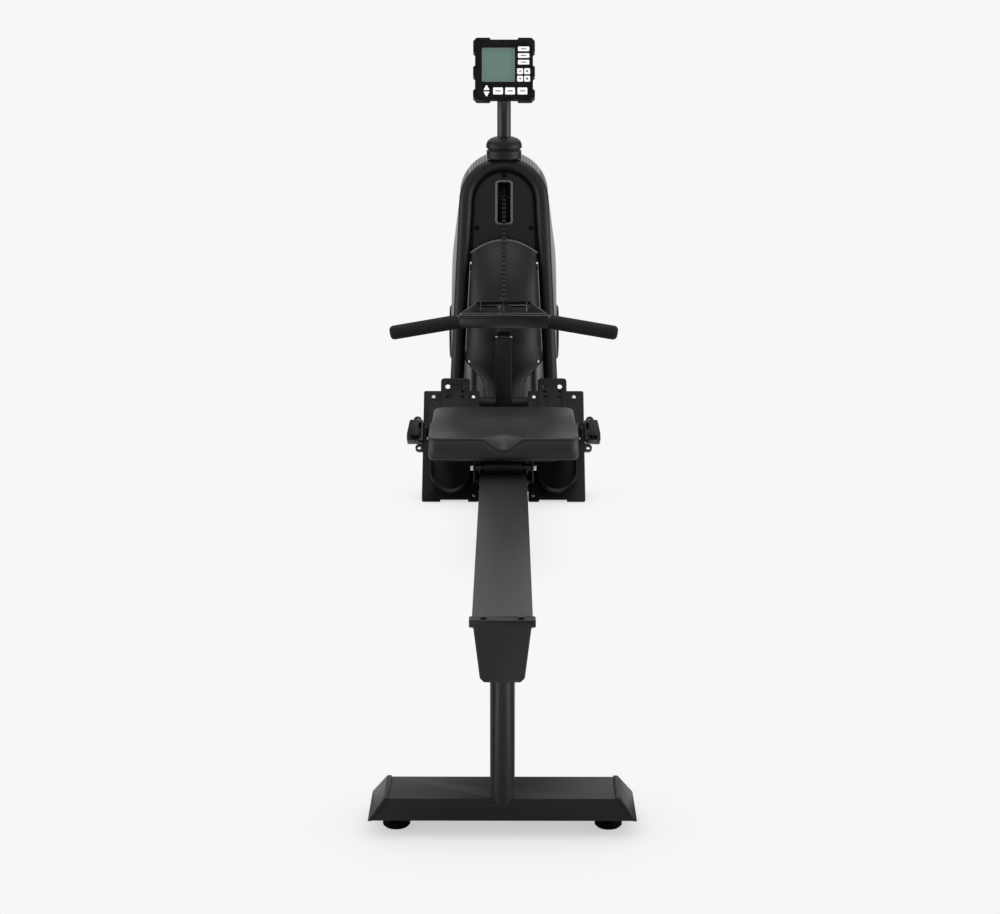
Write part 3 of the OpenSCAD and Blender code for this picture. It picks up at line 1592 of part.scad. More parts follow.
module key(i) {
    k = key_table[i];
    color(key_white) on_console() translate([k[0], 3 - console_depth / 2, k[1]])
        rotate([90, 0, 0]) linear_extrude(3.6 + key_travel) key_shape(i, 0);
}

// Screws: rail bolts, foot frame screws and shroud screws
module bolts_and_screws() {
    color(bright_steel) in_place() {
        for (x = [-31, 31]) translate([x, cap_length / 2, rail_top + cap_proud])
            cylinder(d = 11, h = 4, $fn = 32);
    }
    color(bright_steel) on_arch() rotate([90, 0, 0])
        for (p = [[0, inner_r - 12], [-inner_r + 10, -62], [inner_r - 10, -62]])
            translate([p[0], p[1], panel_t / 2]) cylinder(d = 8, h = 1.5, $fn = 32);
    color(bright_steel) on_plate() both_sides() translate([plate_inner, 0, 0])
        for (p = [[14, plate_length - 16], [plate_width - 22, plate_length - 16], [10, 12]])
            translate([p[0], -plate_sheet, p[1]]) rotate([90, 0, 0]) cylinder(d = 9, h = 2, $fn = 32);
}

rail();
rail_end_cap();
seat_stop();
bolts_and_screws();
rear_foot();
front_foot();
foot_bar_caps();
levelling_feet();
transport_wheel_left();
transport_wheel_right();
main_frame();
handle_post();
handle_cradle();
foot_frame();
foot_plates();
foot_straps();
strap_buckles();
buckle_lever_left();
buckle_lever_right();
heel_cup_left();
heel_cup_right();
seat_pad();
seat_carriage();
roller_axles();
rear_roller();
front_roller();
arch_tube();
collar();
mast();
upper_shroud();
slot_bezel();
lower_shroud();
side_shell_left();
side_shell_right();
inlet_grilles();
hub_covers();
fan_guard();
fan_axle();
flywheel();
drive_sprocket();
idler_pulley();
drive_chain();
handle_body();
handle_grips();
chain_clevis();
console_case();
console_bezel();
console_screen();
key(0);  // key_wide_1
key(1);  // key_wide_2
key(2);  // key_wide_3
key(3);  // key_small_1
key(4);  // key_small_2
key(5);  // key_small_3
key(6);  // key_small_4
key(7);  // key_base_1
key(8);  // key_base_2
key(9);  // key_base_3
key(10);  // key_up
key(11);  // key_down
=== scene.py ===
# %% [markdown]
# An air rowing machine, dressed for its portrait. The solid model gives every
# piece at its real size and place, in metres, and this lesson adds what a solid
# model lacks: rounded edges, moulded skins, foam, webbing, finishes and light.

# %% The fixed frame
import json
import math
import bmesh
import bpy
import numpy as np
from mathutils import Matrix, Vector

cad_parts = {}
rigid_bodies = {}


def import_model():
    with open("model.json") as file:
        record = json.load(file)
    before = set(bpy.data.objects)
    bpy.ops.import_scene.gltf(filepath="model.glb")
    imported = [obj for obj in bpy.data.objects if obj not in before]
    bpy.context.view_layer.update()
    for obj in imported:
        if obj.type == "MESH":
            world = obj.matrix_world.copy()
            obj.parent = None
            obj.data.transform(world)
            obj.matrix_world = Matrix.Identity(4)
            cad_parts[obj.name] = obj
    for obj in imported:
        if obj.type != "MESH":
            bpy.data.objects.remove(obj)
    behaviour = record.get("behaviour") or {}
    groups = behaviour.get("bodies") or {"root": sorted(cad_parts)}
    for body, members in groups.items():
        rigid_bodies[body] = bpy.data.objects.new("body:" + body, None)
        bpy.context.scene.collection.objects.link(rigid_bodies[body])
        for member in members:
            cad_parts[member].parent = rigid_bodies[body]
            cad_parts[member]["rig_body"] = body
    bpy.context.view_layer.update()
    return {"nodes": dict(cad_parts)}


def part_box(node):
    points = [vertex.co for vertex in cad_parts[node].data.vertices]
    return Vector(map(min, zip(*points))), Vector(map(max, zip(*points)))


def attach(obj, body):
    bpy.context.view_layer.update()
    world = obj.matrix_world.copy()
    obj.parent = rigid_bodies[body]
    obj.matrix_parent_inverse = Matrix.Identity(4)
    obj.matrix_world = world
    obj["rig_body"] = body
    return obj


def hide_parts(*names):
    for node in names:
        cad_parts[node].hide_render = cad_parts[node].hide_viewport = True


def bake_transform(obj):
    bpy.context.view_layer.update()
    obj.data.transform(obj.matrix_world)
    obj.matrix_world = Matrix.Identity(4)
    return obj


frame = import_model()
nodes = frame["nodes"]
scene = bpy.context.scene
print("pieces in the solid model:", len(nodes))

# %% [markdown]
# The camera comes first, because it decides what has to be right. The machine was
# seen from behind its rail, from about head height, with a long lens. A lens can
# be worked out from the rail: its two edges run to a point, and how fast they
# close in gives the distance. Lens, height and tilt below come from that.

# %% Camera
IMAGE_WIDTH = 1000
FOCAL_PIXELS = 1900
SENSOR_MM = 36

camera_data = bpy.data.cameras.new("camera")
camera_data.sensor_width = SENSOR_MM
camera_data.lens = FOCAL_PIXELS * SENSOR_MM / IMAGE_WIDTH
camera = bpy.data.objects.new("camera", camera_data)
camera.location = (0.0067, -4.16875, 1.3733)
camera.rotation_euler = (math.radians(90 - 13.396), 0, math.radians(0.205))
scene.collection.objects.link(camera)
scene.camera = camera
print("lens in mm:", round(camera_data.lens, 1))

# %% [markdown]
# Colours are picked as sRGB hex values, because that is how screens and paint
# cards state them, but a shader adds up light and needs linear values. One small
# function turns one into the other.

# %% Colour
def linear(hex_colour):
    """An sRGB hex colour as linear red, green, blue and alpha."""
    parts = [int(hex_colour[i:i + 2], 16) / 255 for i in (1, 3, 5)]
    return [c / 12.92 if c <= 0.04045 else ((c + 0.055) / 1.055) ** 2.4 for c in parts] + [1.0]


print("mid grey in linear light:", round(linear("#808080")[0], 3))

# %% [markdown]
# A material is a small network of nodes. Building one in code is mostly adding a
# node, giving it its settings and plugging earlier nodes into it, so a single
# helper does just that, for every kind of node.

# %% Adding a shader node
def add_node(tree, kind, settings=None, links=None):
    """Adds a node. Settings are values of it or of its sockets, links feed its sockets."""
    made = tree.nodes.new(kind)
    for key, value in (settings or {}).items():
        if isinstance(key, str) and hasattr(made, key) and key not in made.inputs:
            setattr(made, key, value)
        else:
            made.inputs[key].default_value = value
    for key, source in (links or {}).items():
        tree.links.new(source, made.inputs[key])
    return made


def new_material(name):
    """An empty material and its output node."""
    material = bpy.data.materials.new(name)
    material.use_nodes = True
    material.node_tree.nodes.clear()
    output = material.node_tree.nodes.new("ShaderNodeOutputMaterial")
    return material, material.node_tree, output


# %% [markdown]
# Most of the machine is black, in several finishes, and the eye tells them apart
# by their grain and sheen alone. A powder coat melts into a fine orange peel. A
# moulded plastic shell copies the etched grain of its steel mould. Foam skin and
# rubber scatter light, so their highlights are wide and dim. Each is a base
# colour, a roughness that wanders a little, and a bump of the right grain size.

# %% A grained finish
CLOUD_SCALE = 9.0
GLOSS_SPREAD = 0.05


def grained(name, colour, roughness, grain_mm, depth_mm, specular, wear=0.06, metallic=0.0):
    """A finish with an even grain, and a colour and roughness that wander over a hand's width."""
    material, tree, output = new_material(name)
    base = linear(colour)[:3]
    place = add_node(tree, "ShaderNodeTexCoord")
    grain = add_node(tree, "ShaderNodeTexNoise",
                     {"Scale": 1000 / grain_mm, "Detail": 2.0, "Roughness": 0.6},
                     {"Vector": place.outputs["Object"]})
    cloud = add_node(tree, "ShaderNodeTexNoise", {"Scale": CLOUD_SCALE, "Detail": 3.0},
                     {"Vector": place.outputs["Object"]})
    tint = add_node(tree, "ShaderNodeMixRGB",
                    {"Color1": [c * (1 - wear) for c in base] + [1.0],
                     "Color2": [min(1, c * (1 + wear)) for c in base] + [1.0]},
                    {"Fac": cloud.outputs["Fac"]})
    gloss = add_node(tree, "ShaderNodeMapRange",
                     {"To Min": roughness - GLOSS_SPREAD, "To Max": roughness + GLOSS_SPREAD},
                     {"Value": cloud.outputs["Fac"]})
    bump = add_node(tree, "ShaderNodeBump", {"Strength": 1.0, "Distance": depth_mm / 1000},
                    {"Height": grain.outputs["Fac"]})
    shader = add_node(tree, "ShaderNodeBsdfPrincipled",
                      {"Metallic": metallic, "Specular IOR Level": specular},
                      {"Base Color": tint.outputs["Color"], "Roughness": gloss.outputs["Result"],
                       "Normal": bump.outputs["Normal"]})
    tree.links.new(shader.outputs[0], output.inputs["Surface"])
    return material


# Each has a name, a colour, a roughness, the grain's size and depth in mm, and how much it mirrors
powder_coat = grained("black_powder_coat", "#141516", 0.38, 1.1, 0.008, 0.16)
gloss_coat = grained("gloss_black_powder_coat", "#0b0c0c", 0.3, 1.1, 0.005, 0.3)
moulded_abs = grained("etched_black_abs", "#121313", 0.4, 0.8, 0.008, 0.16)
smooth_abs = grained("smooth_black_abs", "#101011", 0.28, 2.0, 0.003, 0.2)
# The shells are dark grey plastic, set lighter than the other mouldings partly to paint the side
# light falling on them.
shell_abs_and_painted_side_light = grained("etched_grey_abs_and_painted_side_light", "#1f2021", 0.34, 0.8, 0.008, 0.5)
plate_coat = grained("satin_black_plate_coat", "#0f1011", 0.42, 1.1, 0.008, 0.12)
# Satin grey plastic of the slot's bezel; thin beads of it also paint highlights along edges of the
# nose and the handle's web.
grey_bezel_abs_and_painted_highlights = grained("satin_grey_abs_and_painted_highlights", "#505152", 0.4, 1.0, 0.006, 0.3)
console_abs = grained("console_black_abs", "#0b0b0c", 0.5, 0.8, 0.008, 0.06)
anodised = grained("black_anodised_aluminium", "#202122", 0.4, 1.6, 0.004, 0.2)
foam_skin = grained("moulded_foam_skin", "#1a1b1c", 0.42, 1.2, 0.008, 0.22)
soft_foam = grained("soft_foam_grip", "#0f0f10", 0.7, 1.6, 0.05, 0.15)
rubber = grained("black_rubber", "#0c0c0d", 0.5, 1.2, 0.01, 0.06)
nylon = grained("moulded_nylon", "#101011", 0.4, 1.0, 0.008, 0.18)
# Near black, for thin lines and rings that paint shade in gaps and in the recesses of screws.
shade_line_black = grained("painted_shade_black", "#070707", 0.7, 1.2, 0.008, 0.04)
zinc_plate = grained("bright_zinc_plate", "#a2a4a6", 0.26, 2.0, 0.006, 0.5, 0.04, 1.0)
oiled_steel = grained("oiled_chain_steel", "#2c2b2a", 0.3, 1.5, 0.01, 0.5, 0.2, 1.0)
guard_grey = grained("grey_powder_coat", "#757778", 0.45, 1.1, 0.008, 0.2)
# Black oxide for blackened fasteners; the same black also paints shade on the shroud's screws and
# on the guard's inner side.
oxide_black_and_painted_shade = grained("steel_black_and_painted_shade", "#0e0e0f", 0.35, 1.5, 0.004, 0.3)
print("finishes so far:", len(bpy.data.materials))

# %% Finishes for the nodes of the solid model
FINISHES = {
    powder_coat: [
        "rear_foot", "front_foot", "main_frame", "handle_post", "foot_frame",
        "seat_carriage", "arch_tube", "inlet_grilles", "flywheel",
    ],
    gloss_coat: ["mast"],
    plate_coat: ["foot_plates", "heel_cup_left", "heel_cup_right"],
    moulded_abs: [
        "rail_end_cap", "foot_bar_caps", "collar", "upper_shroud", "lower_shroud",
        "hub_covers", "foot_straps",
    ],
    shell_abs_and_painted_side_light: ["side_shell_left", "side_shell_right"],
    smooth_abs: ["handle_body", "handle_cradle", "strap_buckles"],
    grey_bezel_abs_and_painted_highlights: ["slot_bezel"],
    console_abs: ["console_case", "console_bezel"],
    anodised: ["rail"],
    nylon: [
        "buckle_lever_left", "buckle_lever_right", "rear_roller", "front_roller", "idler_pulley",
    ],
    rubber: ["seat_stop", "levelling_feet", "transport_wheel_left", "transport_wheel_right"],
    soft_foam: ["handle_grips"],
    foam_skin: ["seat_pad"],
    zinc_plate: ["bolts_and_screws", "roller_axles", "fan_axle", "drive_sprocket"],
    oiled_steel: ["drive_chain", "chain_clevis"],
    guard_grey: ["fan_guard"],
}


def finish_with(piece, material):
    """Gives a piece one finish all over."""
    piece.data.materials.clear()
    piece.data.materials.append(material)


for material, names in FINISHES.items():
    for name in names:
        finish_with(nodes[name], material)
print("nodes with a finish:", sum(len(names) for names in FINISHES.values()))

# %% [markdown]
# No real edge is perfectly sharp. The thin bright lines along a black machine are
# its rounded edges catching the lamps. Most rigid pieces are therefore copied from
# the solid model, their flat faces are made whole again, and a bevel rounds what
# is left. Each copy stands for its solid piece and stays inside it.

# %% Rounded copies of rigid pieces
def mesh_object(name, mesh, body, material, replaced=()):
    """Puts a mesh in the scene as a named piece that rides on a body."""
    piece = bpy.data.objects.new(name, mesh)
    scene.collection.objects.link(piece)
    finish_with(piece, material)
    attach(piece, body)
    if replaced:
        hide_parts(*replaced)
    return piece


def body_of(node_name):
    """The body that a node of the solid model rides on."""
    return nodes[node_name]["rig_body"]


def round_edges(piece, radius_mm, angle):
    """Rounds the edges of a piece where its faces turn by more than an angle in degrees."""
    bevel = piece.modifiers.new("round", "BEVEL")
    bevel.width = radius_mm / 1000
    bevel.segments = 2
    bevel.limit_method = "ANGLE"
    bevel.angle_limit = math.radians(angle)
    bevel.harden_normals = True


def rounded(node_name, radius_mm):
    """Adds a copy of a node with its sharp edges rounded, which stands for that node."""
    mesh = nodes[node_name].data.copy()
    work = bmesh.new()
    work.from_mesh(mesh)
    bmesh.ops.remove_doubles(work, verts=work.verts, dist=1e-6)
    bmesh.ops.dissolve_limit(work, angle_limit=math.radians(1), verts=work.verts, edges=work.edges)
    for face in work.faces:
        face.smooth = True
    work.to_mesh(mesh)
    work.free()
    piece = mesh_object(node_name + "_round", mesh, body_of(node_name), mesh.materials[0],
                        [node_name])
    round_edges(piece, radius_mm, SHARP_ANGLE)


SHARP_ANGLE = 28
# Radius in mm for each piece
ROUNDED = {
    "rail": 1.5, "rail_end_cap": 2.0, "seat_stop": 2.0, "rear_foot": 1.5, "front_foot": 1.5,
    "foot_bar_caps": 2.5, "main_frame": 2.5, "handle_post": 3.0, "handle_cradle": 1.5,
    "foot_plates": 0.8, "strap_buckles": 2.0, "buckle_lever_left": 1.5, "buckle_lever_right": 1.5,
    "heel_cup_left": 0.8, "heel_cup_right": 0.8, "seat_carriage": 0.8, "handle_body": 1.2,
    "console_case": 2.0, "console_bezel": 1.5, "slot_bezel": 0.8, "bolts_and_screws": 0.8,
    "chain_clevis": 0.5,
}
for name, radius in ROUNDED.items():
    rounded(name, radius)
print("rounded pieces:", len(ROUNDED))

# %% [markdown]
# Not every fastener is bright. The bolts in the rail's end and the middles of the
# seat's axles are blackened. The shroud's screws are blackened too, which paints the
# shade of the recesses they sit in. They are parts of larger meshes, so their faces
# are picked by where they are.

# %% Blackened fasteners, and painted shade on the shroud's screws
SHROUD_LEVEL = 0.78
RAIL_END = -1.15
AXLE_BUSH = 0.0625


def blacken(mesh, chosen):
    """Gives the chosen faces of a zinc-plated mesh a black oxide finish."""
    mesh.materials.append(oxide_black_and_painted_shade)
    for polygon in mesh.polygons:
        polygon.material_index = int(chosen(polygon.center))


# The shroud's screws are blackened to paint the shade of their recesses; the rail's end bolts are
# black.
blacken(bpy.data.objects["bolts_and_screws_round"].data,
        lambda c: c.z > SHROUD_LEVEL or c.y < RAIL_END)
axles = nodes["roller_axles"].data
blacken(axles, lambda c: abs(c.x) < AXLE_BUSH)
print("axle faces blackened:", sum(face.material_index for face in axles.polygons))

# %% Smooth normals for the other pieces of the solid model
CREASE_ANGLE = 32
for name, piece in nodes.items():
    if name not in ROUNDED:
        for polygon in piece.data.polygons:
            polygon.use_smooth = True
        piece.data.set_sharp_from_angle(angle=math.radians(CREASE_ANGLE))
print("smoothed only:", len(nodes) - len(ROUNDED))

# %% [markdown]
# The housing round the fan is two moulded side shells with a perforated steel
# guard between them. Seen from the side its outline is a belt drawn tight round
# three discs: the fan, a smaller crown above and a small chin towards the rower.
# One function gives any point of that skin, so shells and guard line up.

# %% The skin of the housing
# A disc has a middle in Y and Z, a radius, a half width and the radius of its edge
hub_low, hub_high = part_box("hub_covers")
FAN = np.array([(hub_low.y + hub_high.y) / 2, (hub_low.z + hub_high.z) / 2])
FAN_DISC = (FAN, 0.310, 0.129, 0.070)
CROWN_DISC = (FAN + (-0.200, 0.325), 0.150, 0.106, 0.098)
CHIN_DISC = (FAN + (-0.380, -0.104), 0.062, 0.096, 0.052)
SKIN = 0.003
GUARD_EDGE = 55


def flank(disc, following):
    """Direction in degrees that the straight belt from one disc to the next faces."""
    reach = following[0] - disc[0]
    lean = math.degrees(math.acos((disc[1] - following[1]) / np.linalg.norm(reach)))
    return (math.degrees(math.atan2(reach[1], reach[0])) - lean + 540) % 360 - 180


def skin_point(disc, facing, turn, inset=0.0):
    """A point of the skin: facing goes round the disc, turn goes from its middle to its side."""
    centre, radius, half, edge = disc
    facing, turn = math.radians(facing), math.radians(turn)
    reach = radius - inset - edge * (1 - math.cos(turn))
    return ((half - inset) * math.sin(turn),
            centre[0] + reach * math.cos(facing), centre[1] + reach * math.sin(facing))


front_flank = flank(FAN_DISC, CROWN_DISC)
rear_flank = flank(CROWN_DISC, CHIN_DISC)
low_flank = flank(CHIN_DISC, FAN_DISC)
print("belt directions:", round(front_flank), round(rear_flank), round(low_flank))


# %% A mesh from a grid of points
def grid_mesh(name, rows, closed_rows=False, closed_columns=False):
    """Quads between rows of equally many points."""
    count, width = len(rows), len(rows[0])
    faces = []
    for i in range(count if closed_rows else count - 1):
        for j in range(width if closed_columns else width - 1):
            a, b = i * width, ((i + 1) % count) * width
            k = (j + 1) % width
            faces.append((a + j, a + k, b + k, b + j))
    mesh = bpy.data.meshes.new(name)
    mesh.from_pydata([tuple(p) for row in rows for p in row], [], faces)
    work = bmesh.new()
    work.from_mesh(mesh)
    bmesh.ops.remove_doubles(work, verts=work.verts, dist=1e-6)
    bmesh.ops.recalc_face_normals(work, faces=work.faces)
    work.to_mesh(mesh)
    work.free()
    for polygon in mesh.polygons:
        polygon.use_smooth = True
    return mesh


# %% Side shells
SIDES = ((-1, "left"), (1, "right"))
INLET = 0.205
LIP = 0.012
LIP_ROUND = 0.002
SHELL_ROUND_MM, SHELL_ANGLE = 0.8, 50
# The chin has no guard, so there the shells start close to the middle plane
CHIN_EDGE = 0.6
CLOSING_TURN = 352


def shell_section(disc, facing, start, side):
    """A closed section of the shell: outer skin, lip round the inlet, inner skin."""
    turns = np.linspace(start, 90, 11)
    outer = [skin_point(disc, facing, t) for t in turns]
    inner = [skin_point(disc, facing, t, SKIN) for t in turns[::-1]]
    half = FAN_DISC[2]
    a = math.radians(facing)
    lip = [(half - depth, FAN[0] + r * math.cos(a), FAN[1] + r * math.sin(a))
           for r, depth in ((INLET + LIP, 0.0), (INLET + LIP_ROUND, 0.0), (INLET, LIP_ROUND / 2),
                            (INLET, SKIN), (INLET + LIP, SKIN))]
    return [(side * x, y, z) for x, y, z in outer + lip + inner]


def shell_stations():
    """Disc, direction and where the skin starts: beside the guard, or near the chin's middle."""
    stations = [(FAN_DISC, a, GUARD_EDGE) for a in np.linspace(low_flank, front_flank, 70)]
    stations += [(CROWN_DISC, a, GUARD_EDGE) for a in np.linspace(front_flank, rear_flank, 36)]
    for step in range(1, 9):
        mixed = step / 9
        disc = tuple(np.array(a) * (1 - mixed) + np.array(b) * mixed
                     for a, b in zip(CROWN_DISC, CHIN_DISC))
        stations.append((disc, rear_flank, GUARD_EDGE * (1 - mixed) + CHIN_EDGE * mixed))
    stations += [(CHIN_DISC, a, CHIN_EDGE)
                 for a in np.linspace(rear_flank, low_flank + CLOSING_TURN, 24)]
    stations.append((CHIN_DISC, low_flank + 360, GUARD_EDGE))
    return stations


for side, side_name in SIDES:
    sections = [shell_section(disc, a, start, side) for disc, a, start in shell_stations()]
    mesh = grid_mesh("shell_" + side_name, sections, True, True)
    node_name = "side_shell_" + side_name
    shell = mesh_object("moulded_shell_" + side_name, mesh, "frame", shell_abs_and_painted_side_light, [node_name])
    round_edges(shell, SHELL_ROUND_MM, SHELL_ANGLE)
print("shell stations:", len(shell_stations()))

# %% [markdown]
# Between the legs of the arch a moulded nose covers the drive. It is a stack of
# levels, each with a height, a half width and a reach out of the arch's plane. A
# short average over the height softens its folds, and its upper lip curls back to
# the panel in an arc. Thin light grey beads along its lip and its upper side edges
# paint their highlights, and thin black beads below them paint the shade in the
# gaps beside the nose.

# %% Nose below the slot
NOSE_LEVELS = np.array([
    [0.3865, 0.0340, 0.0582], [0.4990, 0.0442, 0.0832], [0.5204, 0.0483, 0.0879],
    [0.5418, 0.0700, 0.0927], [0.5659, 0.0910, 0.0980], [0.6114, 0.0888, 0.1081],
    [0.6901, 0.0848, 0.0840], [0.7501, 0.0818, 0.0680], [0.7999, 0.0793, 0.0420],
    [0.8180, 0.0783, 0.0200],
])
WIDTH, REACH = 1, 2
NOSE_FOOT, NOSE_HEAD, NOSE_STEP = 0.3865, 0.818, 0.006
SHORT_WINDOW, LONG_WINDOW = 0.008, 0.020
FOLDS_END = 0.6
CURL_START, CURL_SPAN = 0.70, 0.12
NOSE_TOP = 0.014
NOSE_SIDE_DROP = 0.017
NOSE_FULLNESS = 0.6
LIP_RISE, LIP_STAND = 0.010, 0.0008
NOSE_WALL = 0.0025
ARCH_BEND = (0.31520, 0.922)
ARCH_LEAN = math.radians(12.5)


def smooth_step(t):
    """Goes softly from 0 to 1 while t does."""
    t = min(1.0, max(0.0, t))
    return t * t * (3 - 2 * t)


def nose_value(column, z, window):
    """Half width or reach at a height, averaged over a window above and below it."""
    heights = np.linspace(z - window, z + window, 9)
    return float(np.mean(np.interp(heights, NOSE_LEVELS[:, 0], NOSE_LEVELS[:, column])))


def nose_reach(z):
    """Reach at a height, with a long window above the folds and a short one among them."""
    return nose_value(REACH, z, SHORT_WINDOW if z < FOLDS_END else LONG_WINDOW)


def nose_point(z, a, reach):
    """A point of the nose at a nominal height; a runs from -90 to 90 degrees across it."""
    high = smooth_step((z - CURL_START) / CURL_SPAN)
    height = z + high * (NOSE_TOP * math.cos(a) ** 2 - NOSE_SIDE_DROP * math.sin(a) ** 2)
    plane = ARCH_BEND[0] - (ARCH_BEND[1] - height) * math.tan(ARCH_LEAN)
    width = nose_value(WIDTH, z, SHORT_WINDOW)
    return (width * math.sin(a), plane - reach * math.cos(a) ** NOSE_FULLNESS, height)


def nose_mesh():
    """The stack of levels, closed at its top by the curled lip."""
    heights = np.concatenate([np.arange(NOSE_FOOT, NOSE_HEAD, NOSE_STEP), [NOSE_HEAD]])
    rows = [(z, nose_reach(z)) for z in heights]
    last_z, last_reach = rows[-1]
    rows += [(last_z + LIP_RISE * math.sin(t), last_reach * math.cos(t) + LIP_STAND)
             for t in np.radians([20, 40, 60, 75, 90])]
    turns = np.radians(np.linspace(-90, 90, 45))
    return grid_mesh("nose", [[nose_point(z, a, reach) for a in turns] for z, reach in rows])


def thicken(piece, thickness, offset):
    """Gives a sheet its thickness, behind it for an offset of -1 and on both sides for 0."""
    solidify = piece.modifiers.new("thickness", "SOLIDIFY")
    solidify.thickness = thickness
    solidify.offset = offset
    return solidify


nose = mesh_object("moulded_nose", nose_mesh(), "frame", moulded_abs, ["lower_shroud"])
thicken(nose, NOSE_WALL, -1)
print("nose points:", len(nose.data.vertices))


# %% Beads along the nose: painted highlights on its lip and edges, painted shade in its seams
def swept_tube(name, path, radius):
    """A round bead along a path of points, closed at both ends."""
    sides = 10
    path = [Vector(p) for p in path]
    rows = []
    for i, point in enumerate(path):
        ahead = (path[min(i + 1, len(path) - 1)] - path[max(i - 1, 0)]).normalized()
        side = ahead.cross(Vector((0, -1, 0.2))).normalized()
        up = side.cross(ahead)
        rows.append([point + radius * (math.cos(a) * side + math.sin(a) * up)
                     for a in (math.tau * k / sides for k in range(sides))])
    rows = [[path[0]] * sides] + rows + [[path[-1]] * sides]
    return grid_mesh(name, rows, False, True)


def bead(name, path, radius, material, body="frame"):
    """Adds a bead as a piece of its own."""
    mesh_object(name, swept_tube(name, path, radius), body, material)


# The light grey beads paint highlights on the nose's lip and upper side edges.
LIP_HIGHLIGHT_Z, LIP_HIGHLIGHT_REACH = 0.8230, 0.0240
EDGE_TURN, NOSE_SHADE_TURN = math.radians(78), math.radians(86)
EDGE_SPAN, NOSE_SHADE_SPAN = (0.780, 0.585), (0.572, 0.512)
LIP_HIGHLIGHT_BEAD, EDGE_HIGHLIGHT_BEAD, NOSE_SHADE_BEAD = 0.0024, 0.0020, 0.0030
lip = [nose_point(LIP_HIGHLIGHT_Z, a, LIP_HIGHLIGHT_REACH) for a in np.radians(np.linspace(-84, 84, 61))]
bead("nose_lip_highlight", lip, LIP_HIGHLIGHT_BEAD, grey_bezel_abs_and_painted_highlights)
for side, side_name in SIDES:
    highlight_line = [nose_point(z, side * EDGE_TURN, nose_value(REACH, z, LONG_WINDOW))
                 for z in np.linspace(*EDGE_SPAN, 30)]
    bead("nose_edge_highlight_" + side_name, highlight_line, EDGE_HIGHLIGHT_BEAD, grey_bezel_abs_and_painted_highlights)
    # Black beads low on the nose's sides paint the shade in the gaps beside it.
    seam = [nose_point(z, side * NOSE_SHADE_TURN, nose_value(REACH, z, SHORT_WINDOW))
            for z in np.linspace(*NOSE_SHADE_SPAN, 16)]
    bead("nose_shade_line_" + side_name, seam, NOSE_SHADE_BEAD, shade_line_black)
print("points along the lip:", len(lip))

# %% Four bright screws of the nose
DOME = ((0, 0.55), (0.45, 0.5), (0.8, 0.32), (1, 0), (1, -0.4), (0, -0.4))


def dome_head(name, centre, facing, radius, body, material=zinc_plate, profile=DOME):
    """A domed head or another turned form; its profile gives radii and heights over the centre."""
    facing = Vector(facing).normalized()
    across = facing.orthogonal().normalized()
    other = facing.cross(across)
    ring = [math.cos(a) * across + math.sin(a) * other
            for a in (math.tau * k / 16 for k in range(16))]
    rows = [[Vector(centre) + radius * (h * facing + r * out) for out in ring] for r, h in profile]
    mesh_object(name, grid_mesh(name, rows, False, True), body, material)


# Height, name and the share of the half width at which the screw sits
NOSE_SCREWS = ((0.797, "upper", 0.97), (0.5665, "lower", 0.895))
NOSE_SCREW_RADIUS = 0.0036
for side, side_name in SIDES:
    for level, level_name, share in NOSE_SCREWS:
        spot = nose_point(level, side * math.asin(share), nose_reach(level))
        dome_head("nose_screw_" + level_name + "_" + side_name, spot, (side * 0.6, -0.8, 0),
                  NOSE_SCREW_RADIUS, "frame")
print("screws of the nose:", 2 * len(NOSE_SCREWS))

# %% [markdown]
# Small things that the solid model leaves out: the strap's tail that turns behind
# the foot plate to its buckle, two screws in the cap of the handle's post, a plug in
# the open end of the main beam and the heads of the seat's axles. Light grey beads
# paint highlights along the edges of the handle's open web, and black lines and
# rings paint the shade between the arch and the shroud and round the shroud's screws.

# %% Tails of the foot straps
PLATE_BACK = Vector((0, 0.02615, 0.42875))
PLATE_UP = Vector((0, 0.618, 0.786))
PLATE_INWARD = Vector((0, 0.786, -0.618))
# Distances from the machine's middle and from the back of the plate
TAIL_PATH = [(0.1738, -0.003), (0.1740, -0.0005), (0.1748, 0.0008), (0.1765, 0.0012),
             (0.1830, 0.0012), (0.1860, 0.0010)]
TAIL_WIDTH = 0.032
WEBBING = 0.0016
for side, side_name in SIDES:
    rows = [[PLATE_BACK + Vector((side * x, 0, 0)) + PLATE_INWARD * depth +
             PLATE_UP * (TAIL_WIDTH * share) for share in np.linspace(-0.5, 0.5, 7)]
            for x, depth in TAIL_PATH]
    tail = mesh_object("strap_tail_" + side_name, grid_mesh("strap_tail", rows), "frame",
                       moulded_abs)
    thicken(tail, WEBBING, 0)
print("strap tails:", len(SIDES))

# %% Painted highlights on the edges of the handle's open web, and the screws of the post's cap
WALL_END = 0.0955
WALL_TOP = 0.6955
HANDLE_HIGHLIGHTS = [("front", [(-WALL_END, 0.0483, WALL_TOP), (WALL_END, 0.0483, WALL_TOP)]),
                ("rear", [(-WALL_END, 0.0743, WALL_TOP), (WALL_END, 0.0743, WALL_TOP)])]
HANDLE_HIGHLIGHTS += [(side_name, [(side * 0.0960, 0.0751, 0.6956), (side * 0.0605, 0.1269, 0.7116)])
                 for side, side_name in SIDES]
HANDLE_HIGHLIGHT_BEAD = 0.0011
CAP_SCREW = (0.0166, 0.0773, 0.6415)
CAP_SCREW_RADIUS = 0.0025
# Light grey beads paint the highlights along the top edges of the web.
for name, path in HANDLE_HIGHLIGHTS:
    bead("handle_highlight_" + name, path, HANDLE_HIGHLIGHT_BEAD, grey_bezel_abs_and_painted_highlights, body_of("handle_body"))
for side, side_name in SIDES:
    dome_head("cradle_screw_" + side_name, (side * CAP_SCREW[0], *CAP_SCREW[1:]), (0, -1, 0),
              CAP_SCREW_RADIUS, "frame")
print("light edges:", len(HANDLE_HIGHLIGHTS))

